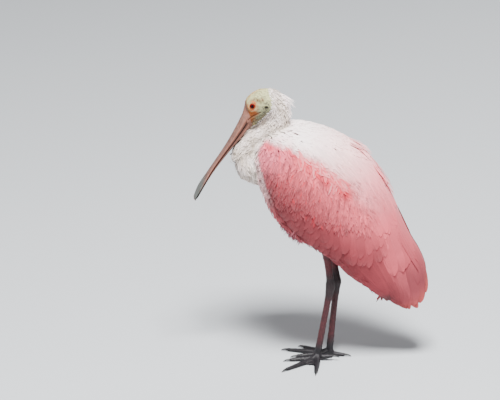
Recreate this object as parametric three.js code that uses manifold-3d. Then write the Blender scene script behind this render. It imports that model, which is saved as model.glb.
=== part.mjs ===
// A roseate spoonbill at rest, life size, in millimetres with +Z up.
// The bird faces -Y, its left side is +X, the floor is Z = 0 and the origin is under the middle of its box.
// It stands on both legs with its neck drawn in and its bill pointing down, and it is a still model.
import * as THREE from "three";
import { mergeVertices } from "three/addons/utils/BufferGeometryUtils.js";
import Module from "manifold-3d";

const wasm = await Module();
wasm.setup();

// Driving dimensions.
const GAP = 0.3; // clearance between pieces that touch
const BODY_ORIGIN = { y: 0, z: 280 }; // a point on the body's long axis
const BODY_PITCH = 46.2; // degrees that the body's long axis slopes down towards the tail
const BILL_LENGTH = 171;
const BILL_GAPE = 0.9; // the slit that shows between the closed mandibles
const SPOON_HALF_WIDTH = 22.5;
const EYE_RADIUS = 6;
const EYE_CENTRE = [11.2, -90.5, 422.5];
const MANTLE_HALF_WIDTH = 25; // from the midline to the scapulars
const TARSUS_RADIUS = 4.6;
const TOE_RADIUS = 3.6;
const SOLE_SINK = 0.7; // how much of each toe the floor flattens
const WEB_THICKNESS = 1.2;
const CLAW_LENGTH = 11;

// Colours, roughness and metalness of each part.
const FINISHES = {
  white_feather: [0xf1e9e2, 0.9],
  pale_feather: [0xf2d5d2, 0.9],
  pink_feather: [0xe39aa0, 0.85],
  deep_feather: [0xd97f86, 0.85],
  face_skin: [0xcfd3ab, 0.65],
  bill: [0x9c7f76, 0.5],
  leg: [0x5a2527, 0.6],
  foot: [0x2c2628, 0.65],
  claw: [0x1d1a1a, 0.4],
  eye: [0xa81c10, 0.1],
};

const bird = new THREE.Group();

function toSolid(geometry) {
  const bare = geometry.index ? geometry.clone() : geometry;
  bare.deleteAttribute("normal");
  bare.deleteAttribute("uv");
  const merged = mergeVertices(bare, 1e-4);
  return new wasm.Manifold(
    new wasm.Mesh({
      numProp: 3,
      vertProperties: new Float32Array(merged.attributes.position.array),
      triVerts: new Uint32Array(merged.index.array),
    }),
  );
}

function toGeometry(solid) {
  const { vertProperties, triVerts, numProp, numVert } = solid.getMesh();
  const places = new Float32Array(numVert * 3);
  for (let i = 0; i < numVert; i++) places.set(vertProperties.subarray(i * numProp, i * numProp + 3), i * 3);
  return new THREE.BufferGeometry()
    .setAttribute("position", new THREE.BufferAttribute(places, 3))
    .setIndex(new THREE.BufferAttribute(triVerts, 1));
}

// Booleans can leave crumbs, so a node keeps only its largest piece.
function largest(solid) {
  return solid.decompose().reduce((a, b) => (b.volume() > a.volume() ? b : a));
}

function add(name, finish, solid) {
  const [color, roughness] = FINISHES[finish];
  const material = new THREE.MeshStandardMaterial({ color, roughness, metalness: 0 });
  const geometry = toGeometry(largest(solid));
  geometry.computeVertexNormals();
  const mesh = new THREE.Mesh(geometry, material);
  mesh.name = name;
  bird.add(mesh);
}

// Rows of numbers, the first of each its place along the length, read smoothly at any place between them.
function valuesAt(rows, place) {
  let i = 0;
  while (i < rows.length - 2 && place > rows[i + 1][0]) i++;
  const [before, from, to, after] = [rows[Math.max(i - 1, 0)], rows[i], rows[i + 1], rows[Math.min(i + 2, rows.length - 1)]];
  const span = to[0] - from[0];
  const t = THREE.MathUtils.clamp((place - from[0]) / span, 0, 1);
  return from.map((value, k) => {
    const slopeIn = (to[k] - before[k]) / (to[0] - before[0]);
    const slopeOut = (after[k] - value) / (after[0] - from[0]);
    return (
      (2 * t ** 3 - 3 * t ** 2 + 1) * value +
      (t ** 3 - 2 * t ** 2 + t) * span * slopeIn +
      (3 * t ** 2 - 2 * t ** 3) * to[k] +
      (t ** 3 - t ** 2) * span * slopeOut
    );
  });
}

// A closed skin over rings of points, with a fan over each end.
function skinOver(rings) {
  const sides = rings[0].length;
  const points = rings.flat();
  const faces = [];
  for (let i = 0; i < rings.length - 1; i++) {
    for (let k = 0; k < sides; k++) {
      const [a, b] = [i * sides + k, i * sides + ((k + 1) % sides)];
      faces.push(a, b, b + sides, a, b + sides, a + sides);
    }
  }
  for (const [ring, first] of [[rings[0], 0], [rings.at(-1), (rings.length - 1) * sides]]) {
    const middle = ring.reduce((sum, p) => sum.add(p), new THREE.Vector3()).divideScalar(sides);
    points.push(middle);
    for (let k = 0; k < sides; k++) {
      const [a, b] = [first + k, first + ((k + 1) % sides)];
      faces.push(...(first ? [a, b, points.length - 1] : [b, a, points.length - 1]));
    }
  }
  const geometry = new THREE.BufferGeometry().setFromPoints(points).setIndex(faces);
  const solid = toSolid(geometry);
  if (solid.volume() > 0) return solid;
  return toSolid(geometry.setIndex(faces.toReversed()));
}

// One closed oval with flattened sides: halfWidth along u, from low to high along v.
function oval(centre, u, v, halfWidth, low, high, power, sides) {
  return Array.from({ length: sides }, (_, k) => {
    const angle = (2 * Math.PI * k) / sides;
    const bulge = (value) => Math.sign(value) * Math.abs(value) ** (2 / power);
    const across = halfWidth * bulge(Math.cos(angle));
    const up = (high + low) / 2 + ((high - low) / 2) * bulge(Math.sin(angle));
    return centre.clone().addScaledVector(u, across).addScaledVector(v, up);
  });
}

const ACROSS = new THREE.Vector3(1, 0, 0);
const pitch = THREE.MathUtils.degToRad(BODY_PITCH);
const TAILWARD = new THREE.Vector3(0, Math.cos(pitch), -Math.sin(pitch));
const BACKWARD = new THREE.Vector3(0, Math.sin(pitch), Math.cos(pitch)); // out of the bird's back

function bodyPoint(along, out, across = 0) {
  return new THREE.Vector3(0, BODY_ORIGIN.y, BODY_ORIGIN.z)
    .addScaledVector(TAILWARD, along)
    .addScaledVector(BACKWARD, out)
    .addScaledVector(ACROSS, across);
}

// A loft down the body's axis. Rows are [place, back, belly, half width].
function bodyLoft(rows, grow, rings, sides, power) {
  const [start, end] = [rows[0][0] - grow, rows.at(-1)[0] + grow];
  return skinOver(
    Array.from({ length: rings }, (_, i) => {
      const share = (1 - Math.cos((Math.PI * i) / (rings - 1))) / 2;
      const eased = 0.5 * share + (0.5 * i) / (rings - 1);
      const place = THREE.MathUtils.lerp(start, end, eased);
      const [, back, belly, half] = valuesAt(rows, THREE.MathUtils.clamp(place, rows[0][0], rows.at(-1)[0]));
      return oval(bodyPoint(place, 0), ACROSS, BACKWARD, half + grow, belly - grow, back + grow, power, sides);
    }),
  );
}

// A loft along a path. Rows are [place, x, y, z, half width, half depth].
function pathLoft(rows, { grow = 0, rings = 14, sides = 14, side = ACROSS, power = 2 } = {}) {
  const [start, end] = [rows[0][0], rows.at(-1)[0]];
  return skinOver(
    Array.from({ length: rings }, (_, i) => {
      const place = THREE.MathUtils.lerp(start, end, i / (rings - 1));
      const [, x, y, z, halfWidth, halfDepth] = valuesAt(rows, place);
      const step = (end - start) / 200;
      const ahead = new THREE.Vector3(...valuesAt(rows, Math.min(place + step, end)).slice(1, 4));
      const behind = new THREE.Vector3(...valuesAt(rows, Math.max(place - step, start)).slice(1, 4));
      const tangent = ahead.sub(behind).normalize();
      const across = side.clone().addScaledVector(tangent, -side.dot(tangent)).normalize();
      const depth = new THREE.Vector3().crossVectors(tangent, across);
      const centre = new THREE.Vector3(x, y, z);
      if (i === 0) centre.addScaledVector(tangent, -grow);
      if (i === rings - 1) centre.addScaledVector(tangent, grow);
      return oval(centre, across, depth, halfWidth + grow, -halfDepth - grow, halfDepth + grow, power, sides);
    }),
  );
}

// Numbers the rows of a path by the distance between their points.
function measured(points) {
  let place = 0;
  return points.map((row, i) => {
    if (i > 0) place += Math.hypot(...[0, 1, 2].map((k) => row[k] - points[i - 1][k]));
    return [place, ...row];
  });
}

// Side view regions of the body frame, as blocks that run across the bird from inner to outer.
function sideBlock(points, inner, outer) {
  const shape = new THREE.Shape(points.map(([along, out]) => new THREE.Vector2(along, out)));
  const geometry = new THREE.ExtrudeGeometry(shape, { depth: outer - inner, bevelEnabled: false });
  const frame = new THREE.Matrix4().makeBasis(TAILWARD, BACKWARD, ACROSS);
  frame.setPosition(bodyPoint(0, 0, inner));
  return toSolid(geometry.applyMatrix4(frame));
}

// A line in the side view, moved by a distance to its left as it is walked.
function shifted(line, distance) {
  return line.map(([along, out], i) => {
    const [from, to] = [line[Math.max(i - 1, 0)], line[Math.min(i + 1, line.length - 1)]];
    const length = Math.hypot(to[0] - from[0], to[1] - from[1]);
    return [along - ((to[1] - from[1]) / length) * distance, out + ((to[0] - from[0]) / length) * distance];
  });
}

// A row of rounded feather tips along a line, each standing out by depth to the line's right.
function featherTips(line, tips, depth, pointsPerTip = 3) {
  const curve = new THREE.CatmullRomCurve3(line.map(([along, out]) => new THREE.Vector3(along, out, 0)));
  const total = tips * pointsPerTip;
  return Array.from({ length: total + 1 }, (_, i) => {
    const at = curve.getPointAt(i / total);
    const tangent = curve.getTangentAt(i / total);
    const lobe = Math.sin((Math.PI * (i % pointsPerTip)) / pointsPerTip) * depth;
    return [at.x + tangent.y * lobe, at.y - tangent.x * lobe];
  });
}

// Everything on the left of a line in the side view, out to far beyond the bird.
const FAR = 500;
function leftOf(line, distance, [cornerA, cornerB]) {
  return [...shifted(line, distance), cornerB, cornerA];
}

// The trunk and the space inside the folded wings.
const TRUNK = [
  [-112, 14, -8, 10],
  [-108, 27, -16, 25],
  [-97, 45, -27, 38],
  [-80, 60, -36, 48],
  [-55, 76, -46, 54],
  [-20, 90, -61, 58],
  [15, 95, -74, 57],
  [45, 90, -67, 54],
  [80, 76, -54, 47],
  [120, 57, -40, 37],
  [155, 38, -26, 26],
  [182, 22, -16, 17],
  [196, 8, -8, 7],
];
const WING_CAVITY = [
  ...TRUNK.slice(0, 8),
  [80, 80, -62, 50],
  [125, 65, -60, 43],
  [160, 54, -58, 35],
  [190, 44, -48, 26],
  [213, 32, -38, 16],
  [232, 12, -28, 7],
  [244, 0, -22, 2],
];
// The outside of the folded wings and of the back.
const WING_SHELL = [
  [-117, 24, -10, 16],
  [-112, 36, -14, 38],
  [-104, 46, -25, 48],
  [-92, 60, -38, 55],
  [-76, 72.5, -50, 60],
  [-52, 86, -62, 65],
  [-22, 97, -74, 67.5],
  [12, 103, -82, 67],
  [50, 98, -82, 63],
  [90, 84, -72, 57],
  [125, 71, -66, 50],
  [160, 60, -62, 41.5],
  [190, 52, -56, 34],
  [213, 42, -48, 26],
  [236, 22, -38, 17],
  [254, 2, -30, 8],
];
const TRUNK_POWER = 2.1;
const SHELL_POWER = 2.35;
const trunkLoft = (grow) => bodyLoft(TRUNK, grow, 12, 14, TRUNK_POWER);
const cavityLoft = (grow) => bodyLoft(WING_CAVITY, grow, 9, 10, TRUNK_POWER);
const shellLoft = (grow) => bodyLoft(WING_SHELL, grow, 13, 16, SHELL_POWER);

// The neck, drawn back in an S: down from the nape to a bulge in front, then back into the breast.
const NECK_UPPER = measured([
  [0, -57, 426, 13, 13],
  [0, -53, 414, 17.5, 18.5],
  [0, -51, 401, 19, 20],
  [0, -55.5, 387, 19.5, 20],
  [0, -70, 373, 19, 18],
  [0, -90, 359, 19.5, 18.5],
  [0, -105, 341, 21, 21],
  [0, -107, 331, 18, 18],
]);
const NECK_LOWER = measured([
  [0, -115, 331, 14, 9],
  [0, -107, 327, 23, 21.5],
  [0, -94, 323, 29, 31],
  [0, -75, 325, 36, 38.5],
  [0, -50, 333, 43, 46],
  [0, -30, 338, 47, 50],
]);
const neckUpper = (grow) => pathLoft(NECK_UPPER, { grow, rings: 10, sides: 12 });
const neckLower = (grow) => pathLoft(NECK_LOWER, { grow, rings: 7, sides: 14 });

// The head, from the bill's root over the crown to the nape.
const HEAD = measured([
  [0, -99, 390.5, 11.5, 10.5],
  [0, -95, 397, 13.5, 15],
  [0, -85.6, 407, 17, 23.5],
  [0, -78, 415.4, 19, 28],
  [0, -67.2, 419, 19.8, 29],
  [0, -57, 413.5, 19.5, 24.5],
  [0, -51, 406, 18.5, 20],
]);
const headLoft = (grow) => pathLoft(HEAD, { grow, rings: 11, sides: 12 });

// The bill follows the line where its mandibles meet. Rows are [place, y, z].
const BILL_LINE = [
  [0, -94, 402],
  [0.1, -104.5, 384.5],
  [0.25, -118.5, 363],
  [0.4, -131.5, 344.5],
  [0.6, -149, 319.5],
  [0.78, -163.5, 297.5],
  [0.9, -173.5, 280.5],
  [0.97, -178.3, 270],
  [1, -179.6, 264.5],
];
// [place, half width, height of the upper mandible, depth of the lower]
const BILL_FORM = [
  [0, 12.5, 12, 11],
  [0.12, 11.4, 9.6, 8.6],
  [0.25, 10.2, 7.4, 5.6],
  [0.4, 8.8, 5.6, 4],
  [0.55, 8.6, 4.6, 3.2],
  [0.68, 11.5, 3.9, 2.7],
  [0.8, 18.5, 3.3, 2.4],
  [0.88, SPOON_HALF_WIDTH, 3, 2.2],
  [0.94, 21, 2.8, 2],
  [0.98, 13.5, 2.6, 1.8],
  [1, 4, 2, 1],
];

function mandible(upward, shorter, grow = 0) {
  const [rings, half] = [15, 5];
  return skinOver(
    Array.from({ length: rings }, (_, i) => {
      const place = ((1 - shorter) * i) / (rings - 1);
      const form = valuesAt(BILL_FORM, place / (1 - shorter));
      const at = new THREE.Vector3(0, ...valuesAt(BILL_LINE, place).slice(1, 3));
      const next = new THREE.Vector3(0, ...valuesAt(BILL_LINE, Math.min(place + 0.02, 1)).slice(1, 3));
      const last = new THREE.Vector3(0, ...valuesAt(BILL_LINE, Math.max(place - 0.02, 0)).slice(1, 3));
      const tangent = next.sub(last).normalize();
      const up = new THREE.Vector3(0, tangent.z, -tangent.y).multiplyScalar(upward ? 1 : -1);
      const [width, height] = [form[1] - (upward ? 0 : 0.6) + grow, (upward ? form[2] : form[3]) + grow];
      const arch = Array.from({ length: half + 1 }, (_, k) => {
        const angle = (Math.PI * k) / half;
        const rise = height * Math.sin(angle) ** 0.8 + BILL_GAPE / 2;
        return at.clone().addScaledVector(ACROSS, width * Math.cos(angle)).addScaledVector(up, rise);
      });
      const floor = [0.6, 0, -0.6].map((share) =>
        at.clone().addScaledVector(ACROSS, -share * width * -1).addScaledVector(up, BILL_GAPE / 2 - 0.15 - grow),
      );
      return [...arch, ...floor.toReversed()];
    }),
  );
}

function ball(radius, [x, y, z], segments = 10) {
  return toSolid(new THREE.SphereGeometry(radius, segments, segments / 2).translate(x, y, z));
}

const trunkGrown = trunkLoft(GAP);
const cavityGrown = cavityLoft(GAP);
const neckUpperGrown = neckUpper(GAP);
const headGrown = headLoft(GAP);

// Head, bill and eyes.
const eyeSockets = [1, -1].map((side) => ball(EYE_RADIUS + GAP, [side * EYE_CENTRE[0], EYE_CENTRE[1], EYE_CENTRE[2]]));
let head = headLoft(0);
for (const socket of eyeSockets) head = head.subtract(socket);
add("head", "face_skin", head);
add("bill_upper", "bill", mandible(true, 0).subtract(headGrown));
add("bill_lower", "bill", mandible(false, 0.012).subtract(headGrown));
add("eye_left", "eye", ball(EYE_RADIUS, EYE_CENTRE));
add("eye_right", "eye", ball(EYE_RADIUS, [-EYE_CENTRE[0], EYE_CENTRE[1], EYE_CENTRE[2]]));

// The shaggy crest hangs from the nape: locks of feathers that share one root.
const CREST_LOCKS = [
  { from: [0, -46, 431], to: [1, -32, 433], drop: -1, half: 4.5 },
  { from: [0, -44, 429], to: [-2, -28.5, 426], drop: 0, half: 5 },
  { from: [4, -42, 425], to: [6, -26.5, 414], drop: 2, half: 4.5 },
  { from: [2, -38, 415], to: [2, -28, 399], drop: 1, half: 4.5 },
];
let crest = ball(10, [0, -45, 421]);
for (const { from, to, drop, half } of CREST_LOCKS) {
  const middle = from.map((value, i) => (value + to[i]) / 2);
  crest = crest.add(
    pathLoft(
      measured([
        [from[0], from[1], from[2], half, half],
        [middle[0], middle[1], middle[2] + 1.5 + drop, half * 0.8, half * 0.6],
        [...to, 0.7, 0.6],
      ]),
      { rings: 4, sides: 6 },
    ),
  );
}
add("nape_crest", "white_feather", crest.subtract(headGrown).subtract(neckUpperGrown));

// Neck, in its two lengths.
const billBed = mandible(false, 0.012, GAP).add(mandible(true, 0, GAP));
add("neck_upper", "white_feather", neckUpper(0).subtract(headGrown).subtract(billBed));
add(
  "neck_lower",
  "white_feather",
  neckLower(0).subtract(neckUpperGrown).subtract(billBed).subtract(trunkGrown),
);

// The lines that part the plumage, in the side view of the body frame: [along the body, out of its back].
const UPPER_LINE = [
  [-130, 22], [-104, 25], [-75, 33], [-45, 40], [-12, 45], [25, 47], [60, 50], [95, 52], [122, 45],
  [150, 31], [178, 17], [205, 5], [232, -3], [275, -14],
]; // above it the mantle, scapulars and tertials, below it the rest of the wing
const WING_LOWER_EDGE = [
  [-122, -6], [-108, -19], [-92, -33], [-67, -46], [-35, -59], [-3, -64], [33, -59], [62, -50],
  [100, -44], [140, -42], [180, -42], [212, -42], [228, -40], [245, -38], [280, -36],
];
const COVERT_TIPS = [[62, -62], [92, -42], [116, -30], [131, -12], [138, 10], [141, 30], [140, 48], [138, 66], [136, 110]];
const SCAPULAR_TIPS = [[150, 20], [138, 50], [126, 66], [112, 82], [96, 94], [84, 115]];
const PRIMARY_LINE = [[120, -60], [150, -42], [178, -30], [204, -23], [232, -19], [275, -20]];
const WING_REAR = [[200, -60], [226, -36], [244, -26], [252, -12], [249, 4], [240, 20], [226, 34], [214, 50], [205, 90]];

const above = (line, distance) => leftOf(line, distance, [[-FAR, FAR], [FAR, FAR]]);
const below = (line, distance) => leftOf(line, -distance, [[-FAR, -FAR], [FAR, -FAR]]);
const behindLine = (line, distance) => leftOf(line, -distance, [[FAR, line[0][1] - FAR], [FAR, FAR]]);
const aheadOf = (line, distance) => leftOf(line, distance, [[-FAR, line[0][1] - FAR], [-FAR, FAR]]);

const HALF_GAP = GAP / 2 + 0.05;
const covertTips = featherTips(COVERT_TIPS, 8, 4);
const scapularTips = featherTips(SCAPULAR_TIPS, 4, 4);
const upperLine = featherTips(UPPER_LINE, 12, 3);
const wingRear = featherTips(WING_REAR, 5, 5);

// The tail: a short arched fan under the wing tips.
const TAIL = [
  [166, 4, -9, 10],
  [185, 2, -8, 16],
  [205, -4, -11, 20],
  [221, -10, -15, 21],
  [232, -14.5, -18, 15],
  [236, -16, -18.5, 7],
];
const TAIL_POWER = 2.6;
const tailLoft = (grow) => bodyLoft(TAIL, grow, 5, 12, TAIL_POWER);
add("tail", "pale_feather", tailLoft(0).subtract(trunkGrown));

const shellPlain = shellLoft(0);
const shellRaised = shellLoft(1.6);
const wingBed = cavityGrown.add(trunkGrown).add(tailLoft(GAP)).add(neckUpperGrown).add(neckLower(GAP)).add(neckLower(0)).add(headGrown);

const plumage = (shell, regions, inner, outer) =>
  regions
    .map((points) => sideBlock(points, inner, outer))
    .reduce((solid, block) => solid.intersect(block), shell)
    .subtract(wingBed);

// [name, finish, shell, distance from the midline, regions that it lies in]
const WING_PARTS = [
  ["wing_coverts", "pink_feather", shellRaised, 27, [
    below(upperLine, HALF_GAP), above(WING_LOWER_EDGE, 0), aheadOf(covertTips, HALF_GAP),
  ]],
  ["wing_secondaries", "deep_feather", shellPlain, HALF_GAP, [
    below(upperLine, HALF_GAP), above(PRIMARY_LINE, HALF_GAP), above(WING_LOWER_EDGE, 0),
    behindLine(covertTips, HALF_GAP), aheadOf(wingRear, 0),
  ]],
  ["wing_primaries", "deep_feather", shellPlain, HALF_GAP, [
    below(upperLine, HALF_GAP), below(PRIMARY_LINE, HALF_GAP), above(WING_LOWER_EDGE, 0),
    behindLine(covertTips, HALF_GAP), aheadOf(wingRear, 0),
  ]],
  ["wing_tertials", "pale_feather", shellPlain, HALF_GAP, [
    above(upperLine, HALF_GAP), behindLine(scapularTips, HALF_GAP), aheadOf(wingRear, 0),
  ]],
  ["scapulars", "pale_feather", shellRaised, MANTLE_HALF_WIDTH, [
    above(upperLine, HALF_GAP), aheadOf(scapularTips, HALF_GAP),
  ]],
];
for (const [name, finish, shell, inner, regions] of WING_PARTS) {
  add(`${name}_left`, finish, plumage(shell, regions, inner, FAR));
  add(`${name}_right`, finish, plumage(shell, regions, -FAR, -inner));
}
add(
  "mantle",
  "white_feather",
  plumage(shellRaised, WING_PARTS[4][4], GAP - MANTLE_HALF_WIDTH, MANTLE_HALF_WIDTH - GAP),
);

// Legs. The left foot stands ahead of the right one and turns outwards.
// Each toe is [name, its heading from straight ahead towards the left, length to the claw, height of its tip].
const LEGS = [
  {
    name: "left",
    knee: [22, 20, 216],
    heel: [11.5, 31.5, 126.5],
    ankle: [10, 12, 14],
    toes: [["inner", 8, 44, 0], ["middle", 42, 66, 0], ["outer", 86, 55, 0], ["hind", 174, 23, 5]],
  },
  {
    name: "right",
    knee: [-22, 27, 216],
    heel: [-11.5, 41.5, 126.5],
    ankle: [-9, 31, 14],
    toes: [["outer", -36, 50, 0], ["middle", -15, 68, 0], ["inner", 9, 52, 0], ["hind", 172, 23, 0]],
  },
];
const WEB_REACH = 0.52; // of the toes' lengths

function legShank({ knee, heel, ankle }, grow) {
  const mix = (a, b, t) => a.map((value, i) => value + (b[i] - value) * t);
  const rows = (points) => measured(points.map(([at, wide, deep]) => [...at, wide, deep]));
  const tibia = rows([
    [mix(knee, heel, 0.1), 9, 11],
    [mix(knee, heel, 0.35), 6.4, 7.4],
    [mix(knee, heel, 0.6), 4.5, 5],
    [mix(knee, heel, 0.85), 4.7, 5.2],
    [mix(knee, heel, 0.96), 5.6, 6.3],
    [mix(heel, ankle, 0.04), 5.9, 6.6],
    [mix(heel, ankle, 0.14), 4.6, 5.4],
    [mix(heel, ankle, 0.24), TARSUS_RADIUS * 0.86, TARSUS_RADIUS],
    [mix(heel, ankle, 0.75), TARSUS_RADIUS * 0.82, TARSUS_RADIUS * 0.96],
    [mix(heel, ankle, 0.93), TARSUS_RADIUS * 0.98, TARSUS_RADIUS * 1.05],
    [mix(heel, ankle, 1.03), TARSUS_RADIUS, TARSUS_RADIUS],
  ]);
  return pathLoft(tibia, { grow, rings: 15, sides: 8 });
}

// Places along a toe: at(share of its length, height).
function toeLine(ankle, heading, length) {
  const angle = THREE.MathUtils.degToRad(heading);
  const ahead = [Math.sin(angle), -Math.cos(angle)];
  const at = (share, height) => [ankle[0] + ahead[0] * length * share, ankle[1] + ahead[1] * length * share, height];
  return { at, ahead, side: new THREE.Vector3(-ahead[1], ahead[0], 0) };
}

const TOE_REST = TOE_RADIUS - SOLE_SINK;

function toe(ankle, [, heading, length, lift]) {
  const { at, side } = toeLine(ankle, heading, length);
  const r = TOE_RADIUS;
  const height = (share, above) => TOE_REST + above + lift * share ** 0.5;
  return pathLoft(
    measured([
      [...at(0, 10), r * 1.15, r * 1.15],
      [...at(0.16, height(0.16, 2)), r, r],
      [...at(0.34, height(0.34, 0)), r * 1.02, r],
      [...at(0.5, height(0.5, -0.25)), r * 0.84, r * 0.9],
      [...at(0.62, height(0.62, -0.1)), r * 0.92, r * 0.94],
      [...at(0.8, height(0.8, -0.45)), r * 0.72, r * 0.78],
      [...at(0.93, height(0.93, -0.5)), r * 0.78, r * 0.78],
      [...at(1, height(1, -0.5)), r * 0.6, r * 0.62],
    ]),
    { rings: 6, sides: 6, side },
  );
}

// The web between two toes: a thin sheet with a hollow front edge.
function web(ankle, [, headingA, lengthA], [, headingB, lengthB]) {
  const a = toeLine(ankle, headingA, lengthA).at(WEB_REACH, 0);
  const b = toeLine(ankle, headingB, lengthB).at(WEB_REACH, 0);
  const notch = [0, 1].map((k) => ankle[k] + ((a[k] + b[k]) / 2 - ankle[k]) * 0.7);
  const shape = new THREE.Shape().moveTo(ankle[0], ankle[1]).lineTo(a[0], a[1]);
  shape.quadraticCurveTo(notch[0], notch[1], b[0], b[1]).closePath();
  const sheet = new THREE.ExtrudeGeometry(shape, { depth: WEB_THICKNESS, bevelEnabled: false, curveSegments: 3 });
  return toSolid(sheet.translate(0, 0, TOE_REST - WEB_THICKNESS));
}

function claw(ankle, [, heading, length, lift]) {
  const { at, side } = toeLine(ankle, heading, length);
  const reach = CLAW_LENGTH / length;
  const base = TOE_REST + lift;
  return pathLoft(
    measured([
      [...at(1 - reach * 0.35, base - 0.2), 1.5, 1.6],
      [...at(1 + reach * 0.15, base + 0.5), 1.6, 1.8],
      [...at(1 + reach * 0.6, base + 0.1), 1.1, 1.3],
      [...at(1 + reach, base - 1.9), 0.35, 0.4],
    ]),
    { rings: 4, sides: 5, side },
  );
}

// Keeps what lies above a height, or below it.
const aboveHeight = (solid, height) => solid.trimByPlane([0, 0, 1], height);
const belowHeight = (solid, height) => solid.trimByPlane([0, 0, -1], -height);

const FOOT_TOP = 13;
const HEEL_BELOW = 8;
const HEEL_ABOVE = 9;
for (const leg of LEGS) {
  const { name, heel, ankle, toes } = leg;
  const shank = legShank(leg, 0);
  const [heelBottom, heelTop] = [heel[2] - HEEL_BELOW, heel[2] + HEEL_ABOVE];
  add(`tibia_${name}`, "leg", aboveHeight(shank, heelTop + GAP).subtract(trunkGrown));
  add(`heel_${name}`, "foot", aboveHeight(belowHeight(shank, heelTop), heelBottom + GAP));
  add(`tarsus_${name}`, "leg", aboveHeight(belowHeight(shank, heelBottom), FOOT_TOP + GAP));
  let foot = ball(TOE_RADIUS * 1.5, [ankle[0], ankle[1], 8.5], 8).add(shank);
  for (const one of toes) {
    const [toeName, heading, length] = one;
    const { at, ahead: [dx, dy] } = toeLine(ankle, heading, length);
    const [tipX, tipY] = at(1, 0);
    const root = dx * tipX + dy * tipY; // the claw shows from this far along the toe's heading
    foot = foot.add(toe(ankle, one).trimByPlane([-dx, -dy, 0], -root));
    const horn = aboveHeight(claw(ankle, one), 0);
    add(`claw_${toeName}_${name}`, "claw", horn.trimByPlane([dx, dy, 0], root + GAP));
  }
  const ahead = toes.filter(([toeName]) => toeName !== "hind");
  for (let i = 0; i < ahead.length - 1; i++) foot = foot.add(web(ankle, ahead[i], ahead[i + 1]));
  foot = aboveHeight(belowHeight(foot, FOOT_TOP), 0);
  add(`foot_${name}`, "foot", foot);
}
add("trunk", "white_feather", trunkLoft(0).subtract(neckUpperGrown).subtract(headGrown));

// The origin goes under the middle of the bird's box.
const box = new THREE.Box3().setFromObject(bird);
const middle = box.getCenter(new THREE.Vector3());
for (const { geometry } of bird.children) geometry.translate(-middle.x, -middle.y, 0);

export default bird;
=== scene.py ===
# %% [markdown]
# # A roseate spoonbill at rest
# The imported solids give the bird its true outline: a slanted body with folded wings, a neck drawn in so far that
# the head sits on the shoulders, a long bill with a spoon at its end, and thin legs with half webbed toes.
# This script puts one skin inside those solids and lays feathers over it, each a thin solid vane.
# Everything is in metres, in the frame of the solids: the bird faces -Y, its left is +X and the floor is Z = 0.

# %% Load the solids as a fixed frame
import math

import bmesh
import bpy
import numpy as np
from mathutils import Matrix, Vector, noise
from mathutils.bvhtree import BVHTree
from mathutils.interpolate import poly_3d_calc


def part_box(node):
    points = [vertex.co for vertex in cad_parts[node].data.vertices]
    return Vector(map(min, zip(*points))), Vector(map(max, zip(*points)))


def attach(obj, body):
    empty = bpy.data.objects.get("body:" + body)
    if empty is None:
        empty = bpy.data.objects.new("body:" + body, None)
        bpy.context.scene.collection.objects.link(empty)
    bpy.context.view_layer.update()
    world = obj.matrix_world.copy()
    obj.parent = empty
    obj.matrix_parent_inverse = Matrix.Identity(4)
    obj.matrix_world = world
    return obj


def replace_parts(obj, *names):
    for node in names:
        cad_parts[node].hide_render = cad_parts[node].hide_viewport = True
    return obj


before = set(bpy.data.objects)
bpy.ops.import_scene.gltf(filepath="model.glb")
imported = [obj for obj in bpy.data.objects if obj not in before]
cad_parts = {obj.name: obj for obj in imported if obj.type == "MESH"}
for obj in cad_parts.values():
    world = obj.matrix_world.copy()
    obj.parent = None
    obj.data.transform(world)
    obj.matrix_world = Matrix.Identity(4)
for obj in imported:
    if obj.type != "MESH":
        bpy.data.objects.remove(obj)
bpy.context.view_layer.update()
MM = 0.001

# %% Scene helpers
def linked(name, data):
    """A new object of the scene, at the origin."""
    made = bpy.data.objects.new(name, data)
    bpy.context.scene.collection.objects.link(made)
    return made


def new_piece(name, shape):
    """A new object at the origin, made from a bmesh."""
    data = bpy.data.meshes.new(name)
    shape.to_mesh(data)
    shape.free()
    return linked(name, data)


def plug(node, **inputs):
    """Sets inputs of a node to values, or links them to the outputs of other nodes."""
    for name, value in inputs.items():
        socket = node.inputs[name.replace("_", " ")]
        if isinstance(value, bpy.types.NodeSocket):
            node.id_data.links.new(value, socket)
        else:
            socket.default_value = value
    return node


# %% [markdown]
# ## Camera
# The bird stands side on, and the camera looks down on it a little, so its far foot shows above the near one.
# A long lens from six metres keeps the lines parallel, as they are on a bird that was watched from far away.

# %% Camera
CAMERA_ELEVATION = math.radians(20)
CAMERA_DISTANCE = 6
LOOKED_AT = Vector((-0.0034, -0.0932, 0.2639))


def look_from(thing, place):
    """Puts a camera or lamp at a place and turns it to what is looked at."""
    thing.location = place
    thing.rotation_mode = "QUATERNION"
    thing.rotation_quaternion = (Vector(place) - LOOKED_AT).to_track_quat("Z", "Y")


towards_camera = Vector((math.cos(CAMERA_ELEVATION), 0, math.sin(CAMERA_ELEVATION)))
camera = linked("camera", bpy.data.cameras.new("camera"))
camera.data.sensor_width = 36
camera.data.lens = 278.7
look_from(camera, LOOKED_AT + towards_camera * CAMERA_DISTANCE)
bpy.context.scene.camera = camera
print("camera at", [round(c, 2) for c in camera.location])

# %% [markdown]
# ## The body's own frame
# The body slopes down towards the tail. Feathers are easiest to lay out in a frame that is turned with it:
# `along` runs from the shoulders to the tail and `out` runs from the belly to the back, both in millimetres.

# %% Body frame
MIDLINE = (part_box("eye_left")[1].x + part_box("eye_right")[0].x) / 2
BODY_PITCH = math.radians(46.2)
BODY_ORIGIN = np.array([MIDLINE, 1.4 * MM, 280 * MM])
TAILWARD = np.array([0, math.cos(BODY_PITCH), -math.sin(BODY_PITCH)])
BACKWARD = np.array([0, math.sin(BODY_PITCH), math.cos(BODY_PITCH)])


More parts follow.
